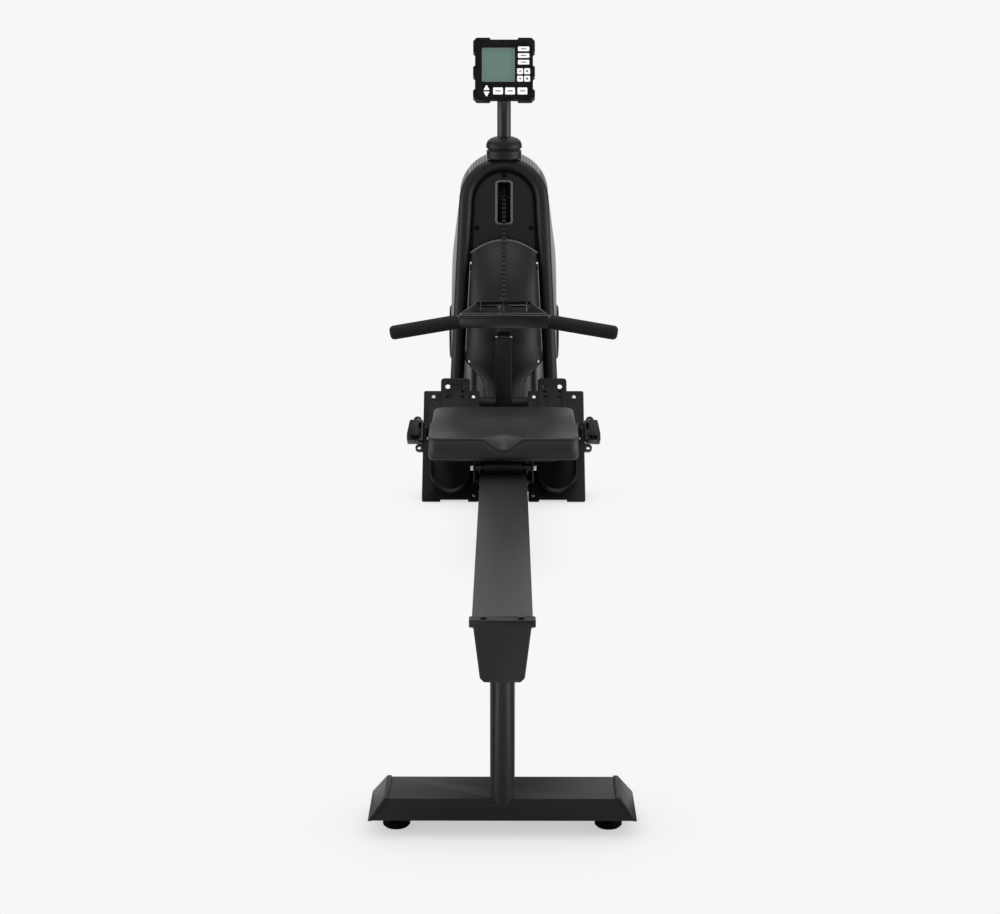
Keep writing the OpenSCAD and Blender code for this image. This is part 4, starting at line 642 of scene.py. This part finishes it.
# %% Moulded plug in the front end of the main beam
def rounded_rectangle(width, height, radius):
    """Points round a rectangle with round corners, about its middle."""
    steps = 5
    points = []
    for x, z, first in ((1, 1, 0), (-1, 1, 90), (-1, -1, 180), (1, -1, 270)):
        for k in range(steps + 1):
            a = math.radians(first + 90 * k / steps)
            points.append((x * (width / 2 - radius) + radius * math.cos(a),
                           z * (height / 2 - radius) + radius * math.sin(a)))
    return points


BEAM_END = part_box("main_frame")[1].y
BEAM_MIDDLE_Z = 0.190
PLUG_SIZE = (0.0536, 0.0736)
PLUG_CORNER = 0.003
# How much narrower each ring is, and how far behind the beam's end
PLUG_STEPS = ((0, 0.014), (0, 0.0012), (0.0016, 0.0004), (0.006, 0.0004), (0.008, 0.0014))
plug_rows = [[(x, BEAM_END - depth, BEAM_MIDDLE_Z + z) for x, z in
              rounded_rectangle(PLUG_SIZE[0] - inset, PLUG_SIZE[1] - inset, PLUG_CORNER)]
             for inset, depth in PLUG_STEPS]
plug_rows.append([(0, BEAM_END - PLUG_STEPS[-1][1], BEAM_MIDDLE_Z)] * len(plug_rows[0]))
mesh_object("beam_plug", grid_mesh("beam_plug", plug_rows, False, True), "frame", moulded_abs)

# %% Heads on the carriage's axles
AXLE_END, AXLE_Z = 0.0660, 0.4148
AXLE_HEAD_RADIUS = 0.0068
AXLES = {"rear": -0.2368, "front": -0.0568}
for place, y in AXLES.items():
    for side, side_name in SIDES:
        dome_head("axle_head_" + place + "_" + side_name, (side * AXLE_END, y, AXLE_Z),
                  (side, 0, 0), AXLE_HEAD_RADIUS, body_of("seat_carriage"))
print("axle heads:", len(AXLES) * len(SIDES))

# %% Painted shade between the arch and the shroud
ARCH_SHADE_RADIUS = 0.0032
ARCH_SHADE_REACH = 0.0712
ARCH_SHADE_OUT = 0.0012
ARCH_SPLAY = math.radians(2.8)


def arch_point(across, up, out):
    """A point given in the leaning plane of the arch, from the middle of its bend."""
    return (across, ARCH_BEND[0] + up * math.sin(ARCH_LEAN) - out * math.cos(ARCH_LEAN),
            ARCH_BEND[1] + up * math.cos(ARCH_LEAN) + out * math.sin(ARCH_LEAN))


# A near black bead along the inside of the arch paints the shade in the gap between tube and
# shroud.
leg = [arch_point(-ARCH_SHADE_REACH - drop * math.tan(ARCH_SPLAY), -drop, ARCH_SHADE_OUT)
       for drop in np.linspace(0.118, 0.012, 10)]
bend = [arch_point(ARCH_SHADE_REACH * math.sin(a), ARCH_SHADE_REACH * math.cos(a), ARCH_SHADE_OUT)
        for a in np.radians(np.linspace(-90, 90, 41))]
bead("arch_shade_line", leg + bend + [(-x, y, z) for x, y, z in leg[::-1]], ARCH_SHADE_RADIUS, shade_line_black)

# %% Painted shade round the shroud's screws
SHROUD_OUT = (0, -0.976, 0.216)
SHADE_RING_RADIUS = 0.0055
SHADE_RING = ((0, 0.28), (0.6, 0.28), (0.85, 0.5), (1, 0.42), (1, -0.3), (0, -0.3))
SHADE_RING_SPOTS = {"top": (0, 0.3281, 0.9826), "left": (-0.0635, 0.3014, 0.8620),
             "right": (0.0635, 0.3014, 0.8620)}
# Near black rings paint the shade of the recesses that the shroud's screws sit in.
for name, spot in SHADE_RING_SPOTS.items():
    dome_head("shroud_screw_shade_" + name, spot, SHROUD_OUT, SHADE_RING_RADIUS, "frame", shade_line_black, SHADE_RING)
print("cups:", len(SHADE_RING_SPOTS))

# %% [markdown]
# The guard is sheet steel with rows of small holes, powder coated light grey; the
# inner side of the sheet is painted black as the shade inside the housing.
# Each cell of the sheet is a square with an eight-sided hole, and the cells are
# bent onto the same skin. The holes are finer than the solid model's net, and
# still coarser than the real ones, which is as close as a mesh can afford.

# %% Perforated guard
HOLE_PITCH = 0.0095
HOLE_OPEN = 0.34
GUARD_WIDTH = 0.235
SEAM_CELLS = 3
GUARD_SHEET = 0.0016
GUARD_LOW, GUARD_HIGH = -100, 130
disc_distance = np.linalg.norm(CROWN_DISC[0] - FAN_DISC[0])
belt_turn = math.acos((FAN_DISC[1] - CROWN_DISC[1]) / disc_distance)
front_length = math.radians(front_flank - GUARD_LOW) * FAN_DISC[1]
flat_length = disc_distance * math.sin(belt_turn)
top_length = math.radians(GUARD_HIGH - front_flank) * CROWN_DISC[1]
guard_length = front_length + flat_length + top_length


def guard_point(u, v):
    """A point of the guard: u runs along it and v across it, both from 0 to 1."""
    along = u * guard_length
    turn = (2 * v - 1) * (GUARD_EDGE - 1)
    past = along - front_length
    if past < 0:
        return skin_point(FAN_DISC, GUARD_LOW + math.degrees(along / FAN_DISC[1]), turn)
    if past > flat_length:
        facing = front_flank + math.degrees((past - flat_length) / CROWN_DISC[1])
        return skin_point(CROWN_DISC, facing, turn)
    a = np.array(skin_point(FAN_DISC, front_flank, turn))
    b = np.array(skin_point(CROWN_DISC, front_flank, turn))
    return tuple(a + (b - a) * past / flat_length)


def perforated_mesh():
    """Square cells with eight-sided holes, shared along their edges."""
    rows = round(guard_length / HOLE_PITCH)
    columns = round(GUARD_WIDTH / HOLE_PITCH)
    corner = [(0, 0), (0.5, 0), (1, 0), (1, 0.5), (1, 1), (0.5, 1), (0, 1), (0, 0.5)]
    hole = [(0.5 + HOLE_OPEN * math.cos(a), 0.5 + HOLE_OPEN * math.sin(a))
            for a in (math.radians(225 + 45 * k) for k in range(8))]
    points, faces, index = [], [], {}

    def vertex(u, v):
        key = (round(u, 5), round(v, 5))
        if key not in index:
            index[key] = len(points)
            points.append(guard_point(u / rows, v / columns))
        return index[key]

    for i in range(rows):
        for j in range(columns):
            seam = abs(j + 0.5 - columns / 2) < SEAM_CELLS
            solid = i < 1 or j < 1 or i >= rows - 1 or j >= columns - 1 or seam
            rim = [vertex(i + u, j + v) for u, v in corner]
            if solid:
                faces.append(rim)
                continue
            inner = [vertex(i + u, j + v) for u, v in hole]
            for k in range(8):
                m = (k + 1) % 8
                faces.append((rim[k], rim[m], inner[m], inner[k]))
    mesh = bpy.data.meshes.new("perforated_guard")
    mesh.from_pydata(points, [], faces)
    for polygon in mesh.polygons:
        polygon.use_smooth = True
    print("guard cells:", rows * columns)
    return mesh


guard = mesh_object("perforated_guard", perforated_mesh(), "frame", guard_grey, ["fan_guard"])
# The sheet's inner side takes the black: painted shade inside the housing, which keeps the view
# through the slot dark.
guard.data.materials.append(oxide_black_and_painted_shade)
thicken(guard, GUARD_SHEET, -1).material_offset = 1

# %% [markdown]
# The seat is one moulded foam block. Its rear face is steep with a crisp upper
# edge over a crease, and is cut by a shallow V for the tail bone. The sides step
# in, and the front half rises with a soft edge. Heights are a formula over the
# plan, so the hollows for the sitting bones stay smooth.

# %% Plan and height of the seat
pad_low, pad_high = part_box("seat_pad")
PAD_MIDDLE = (pad_low + pad_high) / 2
PAD_SIZE = (pad_high - pad_low) * 1000
REAR_CORNER, FRONT_CORNER = 20, 22
SIDE_STEP = 0.024
REAR_HEIGHT, FRONT_RISE = 49, 14
HOLLOW_DEPTH, HOLLOW_X, HOLLOW_WIDTH = 7, 66, 50
NOTCH_DEPTH = 26
NOTCH_HALF = 42
NOTCH_FLAT = 9
NOTCH_REACH = 0.17
CREASE = 0.01
GROOVE = 1.6
CRISP_EDGE, SIDE_SOFTER, FRONT_SOFTER = 3.2, 3.5, 8


def along_pad(y):
    """How far a point is from the pad's rear, as a share of its length."""
    return y / PAD_SIZE.y + 0.5


def pad_outline(inset):
    """The outline of the pad seen from above, in mm, inset from its full size."""
    half, rear, front = PAD_SIZE.x / 2, -PAD_SIZE.y / 2, PAD_SIZE.y / 2
    outline = []
    for x, y, radius, first in ((half, rear, REAR_CORNER, -90), (half, front, FRONT_CORNER, 0)):
        for k in range(15):
            a = math.radians(first + 90 * k / 14)
            outline.append((x - radius + (radius - inset) * math.cos(a),
                            y + radius * (1 if y < 0 else -1) + (radius - inset) * math.sin(a)))
        if y < 0:
            straight = front - FRONT_CORNER - rear - REAR_CORNER
            outline += [(half - inset, rear + REAR_CORNER + straight * k / 40)
                        for k in range(1, 40)]
    narrow = [(x * (1 - SIDE_STEP * smooth_step((along_pad(y) - 0.38) / 0.15)), y)
              for x, y in outline]
    rear_edge = [(x, rear + inset)
                 for x in np.linspace(-half + REAR_CORNER, half - REAR_CORNER, 90)[1:-1]]
    front_edge = [(x, front - inset)
                  for x in np.linspace(half - FRONT_CORNER, FRONT_CORNER - half, 50)[1:-1]]
    return rear_edge + narrow + front_edge + [(-x, y) for x, y in narrow[::-1]]


def pad_height(x, y):
    """Height of the pad's top over its underside, in mm: a rise, two hollows and the notch."""
    t = along_pad(y)
    rise = REAR_HEIGHT + FRONT_RISE * smooth_step((t - 0.18) / 0.5)
    hollow = HOLLOW_DEPTH * math.exp(-((abs(x) - HOLLOW_X) / HOLLOW_WIDTH) ** 2
                                     - ((t - 0.52) / 0.26) ** 2)
    shorter = max(0.0, 1 - t / NOTCH_REACH)
    slope = (NOTCH_HALF * (0.55 + 0.45 * shorter) - abs(x)) / (NOTCH_HALF - NOTCH_FLAT)
    above_zero = 0.5 * (slope + math.sqrt(slope ** 2 + CREASE))
    below_one = 1 - 0.5 * (1 - above_zero + math.sqrt((1 - above_zero) ** 2 + CREASE))
    return rise - hollow - NOTCH_DEPTH * max(0.0, below_one) * shorter ** 1.4


def pad_edge(y):
    """Radius of the pad's upper edge: crisp behind and along the sides, soft in front."""
    t = along_pad(y)
    return (CRISP_EDGE + SIDE_SOFTER * smooth_step((t - 0.35) / 0.4)
            + FRONT_SOFTER * smooth_step((t - 0.86) / 0.14))


def seat_mesh():
    """Rings of the pad, from the middle of its underside round its edge to its top's middle."""
    rows = [[(x, y, z) for x, y in pad_outline(inset)]
            for inset, z in ((9, 0), (3, 1), (0.6, 4), (0, 9))]
    rows.insert(0, [(0, 0, 0)] * len(rows[0]))
    for inset, below in ((0, 3.2), (GROOVE, 2.2), (GROOVE, 1.7), (0, 0.9)):
        row = []
        for (x, y), (x1, y1) in zip(pad_outline(0), pad_outline(inset)):
            fade = 1 - smooth_step((along_pad(y) - 0.3) / 0.25)
            row.append((x + (x1 - x) * fade, y + (y1 - y) * fade,
                        pad_height(x, y) - pad_edge(y) - below))
        rows.append(row)
    for turn in np.radians(np.linspace(0, 90, 8)):
        row = []
        for x, y in pad_outline(0):
            edge = pad_edge(y)
            inset = edge * (1 - math.cos(turn))
            x1 = x * (1 - inset / (PAD_SIZE.x / 2))
            y1 = y * (1 - inset / (PAD_SIZE.y / 2))
            row.append((x1, y1, pad_height(x1, y1) - edge * (1 - math.sin(turn))))
        rows.append(row)
    last = rows[-1]
    for scale in np.linspace(1, 0, 36)[1:]:
        rows.append([(x * scale, y * scale, pad_height(x * scale, y * scale))
                     for x, y, _ in last])
    base = PAD_MIDDLE * 1000
    rows = [[((x + base.x) / 1000, (y + base.y) / 1000, z / 1000 + pad_low.z)
             for x, y, z in row] for row in rows]
    return grid_mesh("seat_foam", rows, False, True)


seat = mesh_object("seat_foam", seat_mesh(), body_of("seat_pad"), foam_skin, ["seat_pad"])
print("seat points:", len(seat.data.vertices))

# %% [markdown]
# The chain has a roller at every half inch, with narrow inner plates and wide
# outer plates taking turns. It leaves the handle, turns over the idler behind the
# slot and drops to the sprocket inside the housing. When the handle is pulled, the
# run between idler and handle pays out.

# %% Path of the chain
HOOK = np.array([0.14092, 0.71598])
IDLER = np.array([0.40725, 0.950])
IDLER_RADIUS = 0.028
SPROCKET_RADIUS = 0.03054
PITCH = 0.0127
WRAPPED_LINKS = 8
TOOTH_ANGLE = 24


def direction(degrees):
    """A unit vector in the middle plane."""
    return np.array([math.cos(math.radians(degrees)), math.sin(math.radians(degrees))])


def chain_centres():
    """Centres of the rollers in the middle plane, from the handle inwards."""
    reach = IDLER - HOOK
    rise = math.degrees(math.atan2(reach[1], reach[0]) +
                        math.asin(IDLER_RADIUS / np.linalg.norm(reach)))
    drop = FAN - IDLER
    slant = math.asin((SPROCKET_RADIUS - IDLER_RADIUS) / np.linalg.norm(drop))
    fall = math.degrees(math.atan2(drop[1], drop[0]) - slant)
    # Where the straight runs touch the idler and the sprocket
    first = IDLER + IDLER_RADIUS * direction(rise + 90)
    second = IDLER + IDLER_RADIUS * direction(fall + 90)
    third = FAN + SPROCKET_RADIUS * direction(fall + 90)
    wrapped = fall + 90 - WRAPPED_LINKS * TOOTH_ANGLE
    fourth = FAN + SPROCKET_RADIUS * direction(wrapped)
    run = math.sqrt(float(reach @ reach) - IDLER_RADIUS ** 2)
    links = round(run / PITCH)
    path = [first - direction(rise) * run * (1 - i / links) for i in range(links)]
    path += [IDLER + IDLER_RADIUS * direction(a) for a in np.linspace(rise + 90, fall + 90, 5)]
    down = round(float(np.linalg.norm(third - second)) / PITCH)
    path += [second + (third - second) * i / down for i in range(1, down)]
    path += [FAN + SPROCKET_RADIUS * direction(a)
             for a in np.linspace(fall + 90, wrapped, WRAPPED_LINKS + 1)]
    return path + [fourth + direction(wrapped - 90) * PITCH * i for i in range(1, 9)]


PLATE_RADIUS, PLATE_WAIST, PLATE_THICKNESS = 0.0041, 0.0029, 0.0009
INNER_PLATE, OUTER_PLATE = 0.0018, 0.0028
ROLLER_AND_PIN = ((0.0039, 0.0017), (0.0017, 0.0041))


def plate_outline(a, b):
    """A chain plate seen from the side: two round ends and a narrower waist."""
    along = (b - a) / np.linalg.norm(b - a)
    up = np.array([-along[1], along[0]])
    points = []
    for centre, first in ((a, 65), (b, -115)):
        for k in range(9):
            turn = math.radians(first + k * 230 / 8)
            points.append(centre + PLATE_RADIUS * (math.cos(turn) * along + math.sin(turn) * up))
        side = 1 if first > 0 else -1
        points.append((a + b) / 2 - side * PLATE_WAIST * up)
    return points


def prism(work, outline, x0, x1):
    """A closed plate from x0 to x1 over an outline in the plane of Y and Z."""
    ends = [[work.verts.new((x, p[0], p[1])) for p in outline] for x in (x0, x1)]
    work.faces.new(ends[0])
    work.faces.new(ends[1][::-1])
    for k in range(len(outline)):
        m = (k + 1) % len(outline)
        work.faces.new((ends[0][m], ends[0][k], ends[1][k], ends[1][m]))


def chain_mesh():
    """Every link's two plates, and a roller and a pin at every centre."""
    work = bmesh.new()
    centres = chain_centres()
    for i, (a, b) in enumerate(zip(centres, centres[1:])):
        inner = INNER_PLATE if i % 2 == 0 else OUTER_PLATE
        for side in (-1, 1):
            prism(work, plate_outline(a, b), side * inner, side * (inner + PLATE_THICKNESS))
    for centre in centres:
        for radius, half in ROLLER_AND_PIN:
            ring = [centre + radius * direction(a) for a in range(0, 360, 30)]
            prism(work, ring, -half, half)
    bmesh.ops.recalc_face_normals(work, faces=work.faces)
    mesh = bpy.data.meshes.new("roller_chain")
    work.to_mesh(mesh)
    work.free()
    print("chain rollers:", len(centres))
    return mesh


chain = bpy.data.objects.new("roller_chain", chain_mesh())
scene.collection.objects.link(chain)
finish_with(chain, oiled_steel)
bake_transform(chain)
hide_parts("drive_chain")

# %% [markdown]
# The display is a reflective liquid crystal behind a clear window: grey-green, a
# little lighter round its rim. The keys are silicone, moulded in white, and most
# have a small printed mark: a dot or a bar, and no letters. Both start from the
# largest face of their piece, which is the one turned to the rower.

# %% Display and its lighter rim
screen_glass = grained("display_window", "#5c756f", 0.25, 3.0, 0.002, 0.2)
screen_rim = grained("display_rim", "#76877f", 0.3, 3.0, 0.002, 0.2)
silicone_keys = grained("white_silicone", "#f0f1f2", 0.55, 1.5, 0.01, 0.3)
key_print = grained("printed_grey", "#55585a", 0.6, 1.5, 0.004, 0.2)
finish_with(nodes["console_screen"], screen_glass)


def front_face(node_name):
    """Middle, normal, width and height of the largest face that looks towards the rower."""
    work = bmesh.new()
    work.from_mesh(nodes[node_name].data)
    bmesh.ops.dissolve_limit(work, angle_limit=math.radians(1), verts=work.verts, edges=work.edges)
    best = max((f for f in work.faces if f.normal.y < -0.5), key=lambda f: f.calc_area())
    normal = best.normal.copy()
    low = Vector([min(v.co[i] for v in best.verts) for i in range(3)])
    high = Vector([max(v.co[i] for v in best.verts) for i in range(3)])
    work.free()
    return (low + high) / 2, normal, high.x - low.x, (high - low).yz.length


def face_patch(name, node_name, outline, material, lift=0.0001, hole=None):
    """Adds a thin patch drawn on that face; outline and hole are points in metres."""
    centre, normal = front_face(node_name)[:2]
    up = normal.cross(Vector((1, 0, 0))).normalized()
    up = up if up.z > 0 else -up

    def place(points):
        return [centre + normal * lift + Vector((1, 0, 0)) * x + up * z for x, z in points]

    rows = [place(outline), place(hole if hole else [(0, 0)] * len(outline))]
    mesh_object(name, grid_mesh(name, rows, False, True), body_of(node_name), material)


RIM_GAP, RIM_WIDTH = 0.0021, 0.0036
screen_width, screen_height = front_face("console_screen")[2:]
edge = (screen_width / 2 - RIM_GAP, screen_height / 2 - RIM_GAP)
inner_edge = (edge[0] - RIM_WIDTH, edge[1] - RIM_WIDTH)
CORNERS = ((-1, -1), (1, -1), (1, 1), (-1, 1))
face_patch("display_rim", "console_screen", [(x * edge[0], z * edge[1]) for x, z in CORNERS],
           screen_rim, 0.0002, [(x * inner_edge[0], z * inner_edge[1]) for x, z in CORNERS])
print("display in mm:", round(screen_width * 1000), "by", round(screen_height * 1000))


# %% Keys and their marks
def dot(radius):
    """Points round a dot."""
    return [(radius * math.cos(a), radius * math.sin(a))
            for a in (math.tau * k / 14 for k in range(14))]


def bar(width, height):
    """Points round a bar with rounded ends."""
    return [(x * width / 2 + height / 2 * math.cos(a) * 0.8, height / 2 * math.sin(a))
            for x, a in [(1, math.radians(t)) for t in (-90, -45, 0, 45, 90)] +
            [(-1, math.radians(t)) for t in (90, 135, 180, 225, 270)]]


LARGE_DOT, SMALL_DOT = dot(0.0026), dot(0.0021)
MARKS = {"key_wide": bar(0.011, 0.0022), "key_base": bar(0.010, 0.0026),
         "key_small_1": SMALL_DOT, "key_small_2": LARGE_DOT,
         "key_small_3": SMALL_DOT, "key_small_4": LARGE_DOT}
keys = [name for name in nodes if name.startswith("key_")]
for name in keys:
    finish_with(nodes[name], silicone_keys)
    for start, mark in MARKS.items():
        if name.startswith(start):
            face_patch(name + "_mark", name, mark, key_print)
print("keys:", len(keys))

# %% [markdown]
# The floor and the air around the machine are plain and nearly white. The camera
# and mirror-like surfaces see that white, while the world lights the machine at a
# lower level. The floor glows by itself, so it has no lamp's shadow. Where the
# machine closes off the sky, close over the floor, a painted shadow darkens it a
# little.

# %% Air and floor
def seen_or_lit(tree, seen, lit):
    """Mixes two shaders: one for what is seen or mirrored, one for what gives light."""
    path = add_node(tree, "ShaderNodeLightPath")
    direct = add_node(tree, "ShaderNodeMath", {"operation": "MAXIMUM"},
                      {0: path.outputs["Is Camera Ray"], 1: path.outputs["Is Glossy Ray"]})
    any_sight = add_node(tree, "ShaderNodeMath", {"operation": "MAXIMUM"},
                         {0: direct.outputs[0], 1: path.outputs["Is Transmission Ray"]})
    return add_node(tree, "ShaderNodeMixShader", {},
                    {0: any_sight.outputs[0], 1: lit.outputs[0], 2: seen.outputs[0]})


BACKGROUND = "#f7f7f7"
SKY_STRENGTH = 0.35
FLOOR_HALF = 12.0
SHADE_REACH, SHADE_DARKEST = 0.22, 0.55
world = bpy.data.worlds.new("studio")
scene.world = world
world.use_nodes = True
world.node_tree.nodes.clear()
seen = add_node(world.node_tree, "ShaderNodeBackground",
                {"Color": linear(BACKGROUND), "Strength": 1.0})
lit = add_node(world.node_tree, "ShaderNodeBackground",
               {"Color": linear("#ffffff"), "Strength": SKY_STRENGTH})
add_node(world.node_tree, "ShaderNodeOutputWorld", {},
         {"Surface": seen_or_lit(world.node_tree, seen, lit).outputs[0]})


def stage_sheet(name, corners, material):
    """Adds a flat four-cornered sheet that belongs to the stage and not to the machine."""
    mesh = bpy.data.meshes.new(name)
    mesh.from_pydata(corners, [], [(0, 1, 2, 3)])
    mesh.materials.append(material)
    sheet = bpy.data.objects.new(name, mesh)
    scene.collection.objects.link(sheet)
    return sheet


def pale_floor():
    """The floor's material: it glows, with a painted shadow where the machine is close above it.
    """
    material, tree, output = new_material("pale_floor")
    open_sky = add_node(tree, "ShaderNodeAmbientOcclusion", {"Distance": SHADE_REACH})
    shade = add_node(tree, "ShaderNodeMapRange", {"To Min": SHADE_DARKEST, "To Max": 1.0},
                     {"Value": open_sky.outputs["AO"]})
    glow = add_node(tree, "ShaderNodeEmission", {"Color": linear(BACKGROUND)},
                    {"Strength": shade.outputs["Result"]})
    matt = add_node(tree, "ShaderNodeBsdfDiffuse", {"Color": linear("#f2f2f2")})
    tree.links.new(seen_or_lit(tree, glow, matt).outputs[0], output.inputs["Surface"])
    return material


stage_sheet("floor", [(x * FLOOR_HALF, y * FLOOR_HALF, 0) for x, y in CORNERS], pale_floor())
print("floor in metres:", 2 * FLOOR_HALF)

# %% [markdown]
# Large soft lamps above and beside the machine draw the long highlights. A tube
# mirrors a narrow strip of what stands round it, and the rear leg is seen from
# above, so it mirrors the floor beside it. Two weak lamps lie just over the floor
# there, facing up, and draw the leg's bright bands.

# %% Lamps
def soft_lamp(name, place, target, size, watts):
    """Adds a rectangular lamp that faces a point and isn't seen itself."""
    lamp_data = bpy.data.lights.new(name, "AREA")
    lamp_data.shape = "RECTANGLE"
    lamp_data.size, lamp_data.size_y = size
    lamp_data.energy = watts
    lamp = bpy.data.objects.new(name, lamp_data)
    lamp.location = place
    lamp.rotation_euler = (Vector(target) - Vector(place)).to_track_quat("-Z", "Y").to_euler()
    lamp.visible_camera = False
    scene.collection.objects.link(lamp)


SIDE_WATTS = {"left": 65, "right": 85}
LOW_X, LOW_Y, LOW_Z = 0.52, -1.60, 0.012
LOW_SIZE, LOW_WATTS = (0.52, 0.5), 6.5
soft_lamp("overhead", (0, 0.2, 3.6), (0, 0, 0.6), (3.0, 4.5), 90)
for side, side_name in SIDES:
    soft_lamp(side_name + "_side", (side * 3.3, -0.8, 1.3), (0, -0.4, 0.8), (3.4, 2.2),
              SIDE_WATTS[side_name])
for side, side_name in SIDES:
    soft_lamp(side_name + "_low", (side * LOW_X, LOW_Y, LOW_Z), (side * LOW_X, LOW_Y, 1),
              LOW_SIZE, LOW_WATTS)
print("lamps:", len(bpy.data.lights))

# %% [markdown]
# A black machine in white air loses its edges, because they mirror the air at a
# flat angle. Photographers stand black cards where the edges look, out of the
# picture. Two more cards lie on the floor beside the rear leg, inside the picture,
# and paint dark reflections along the leg's edges. These are seen only in
# reflections: they give no shadow and no colour.

# %% Black cards
def black_card(name, corners):
    """Adds a card that is seen only in reflections."""
    card = stage_sheet(name, corners, card_black)
    card.visible_camera = False
    card.visible_diffuse = False
    card.visible_shadow = False


CARD_HALF_WIDTH, CARD_Y, CARD_MIDDLE, CARD_HALF_HEIGHT = 3.5, -6.2, 1.1, 0.5
CARD_LIFT = 0.004
card_black, card_tree, card_out = new_material("black_card")
card_paint = add_node(card_tree, "ShaderNodeBsdfDiffuse", {"Color": linear("#060606")})
card_tree.links.new(card_paint.outputs[0], card_out.inputs["Surface"])
black_card("card_behind_camera", [(x * CARD_HALF_WIDTH, CARD_Y, CARD_MIDDLE + z * CARD_HALF_HEIGHT)
                                  for x, z in CORNERS])
for side, side_name in SIDES:
    black_card("tall_card_" + side_name,
               [(side * 1.6, 1.1, 0), (side * 2.7, 4.5, 0),
                (side * 2.7, 4.5, 2.4), (side * 1.6, 1.1, 2.4)])
    # The floor cards lie in the picture, hidden from the camera, and paint dark reflections along
    # the rear leg's edges.
    black_card("floor_card_" + side_name,
               [(side * x, y, CARD_LIFT)
                for x, y in ((0.04, -1.17), (1.0, -1.33), (1.0, -0.50), (0.05, -1.12))])

# %% [markdown]
# The colours are shown as they are, with no film-like curve over them.

# %% View
scene.view_settings.view_transform = "Standard"
print("view:", scene.view_settings.view_transform)
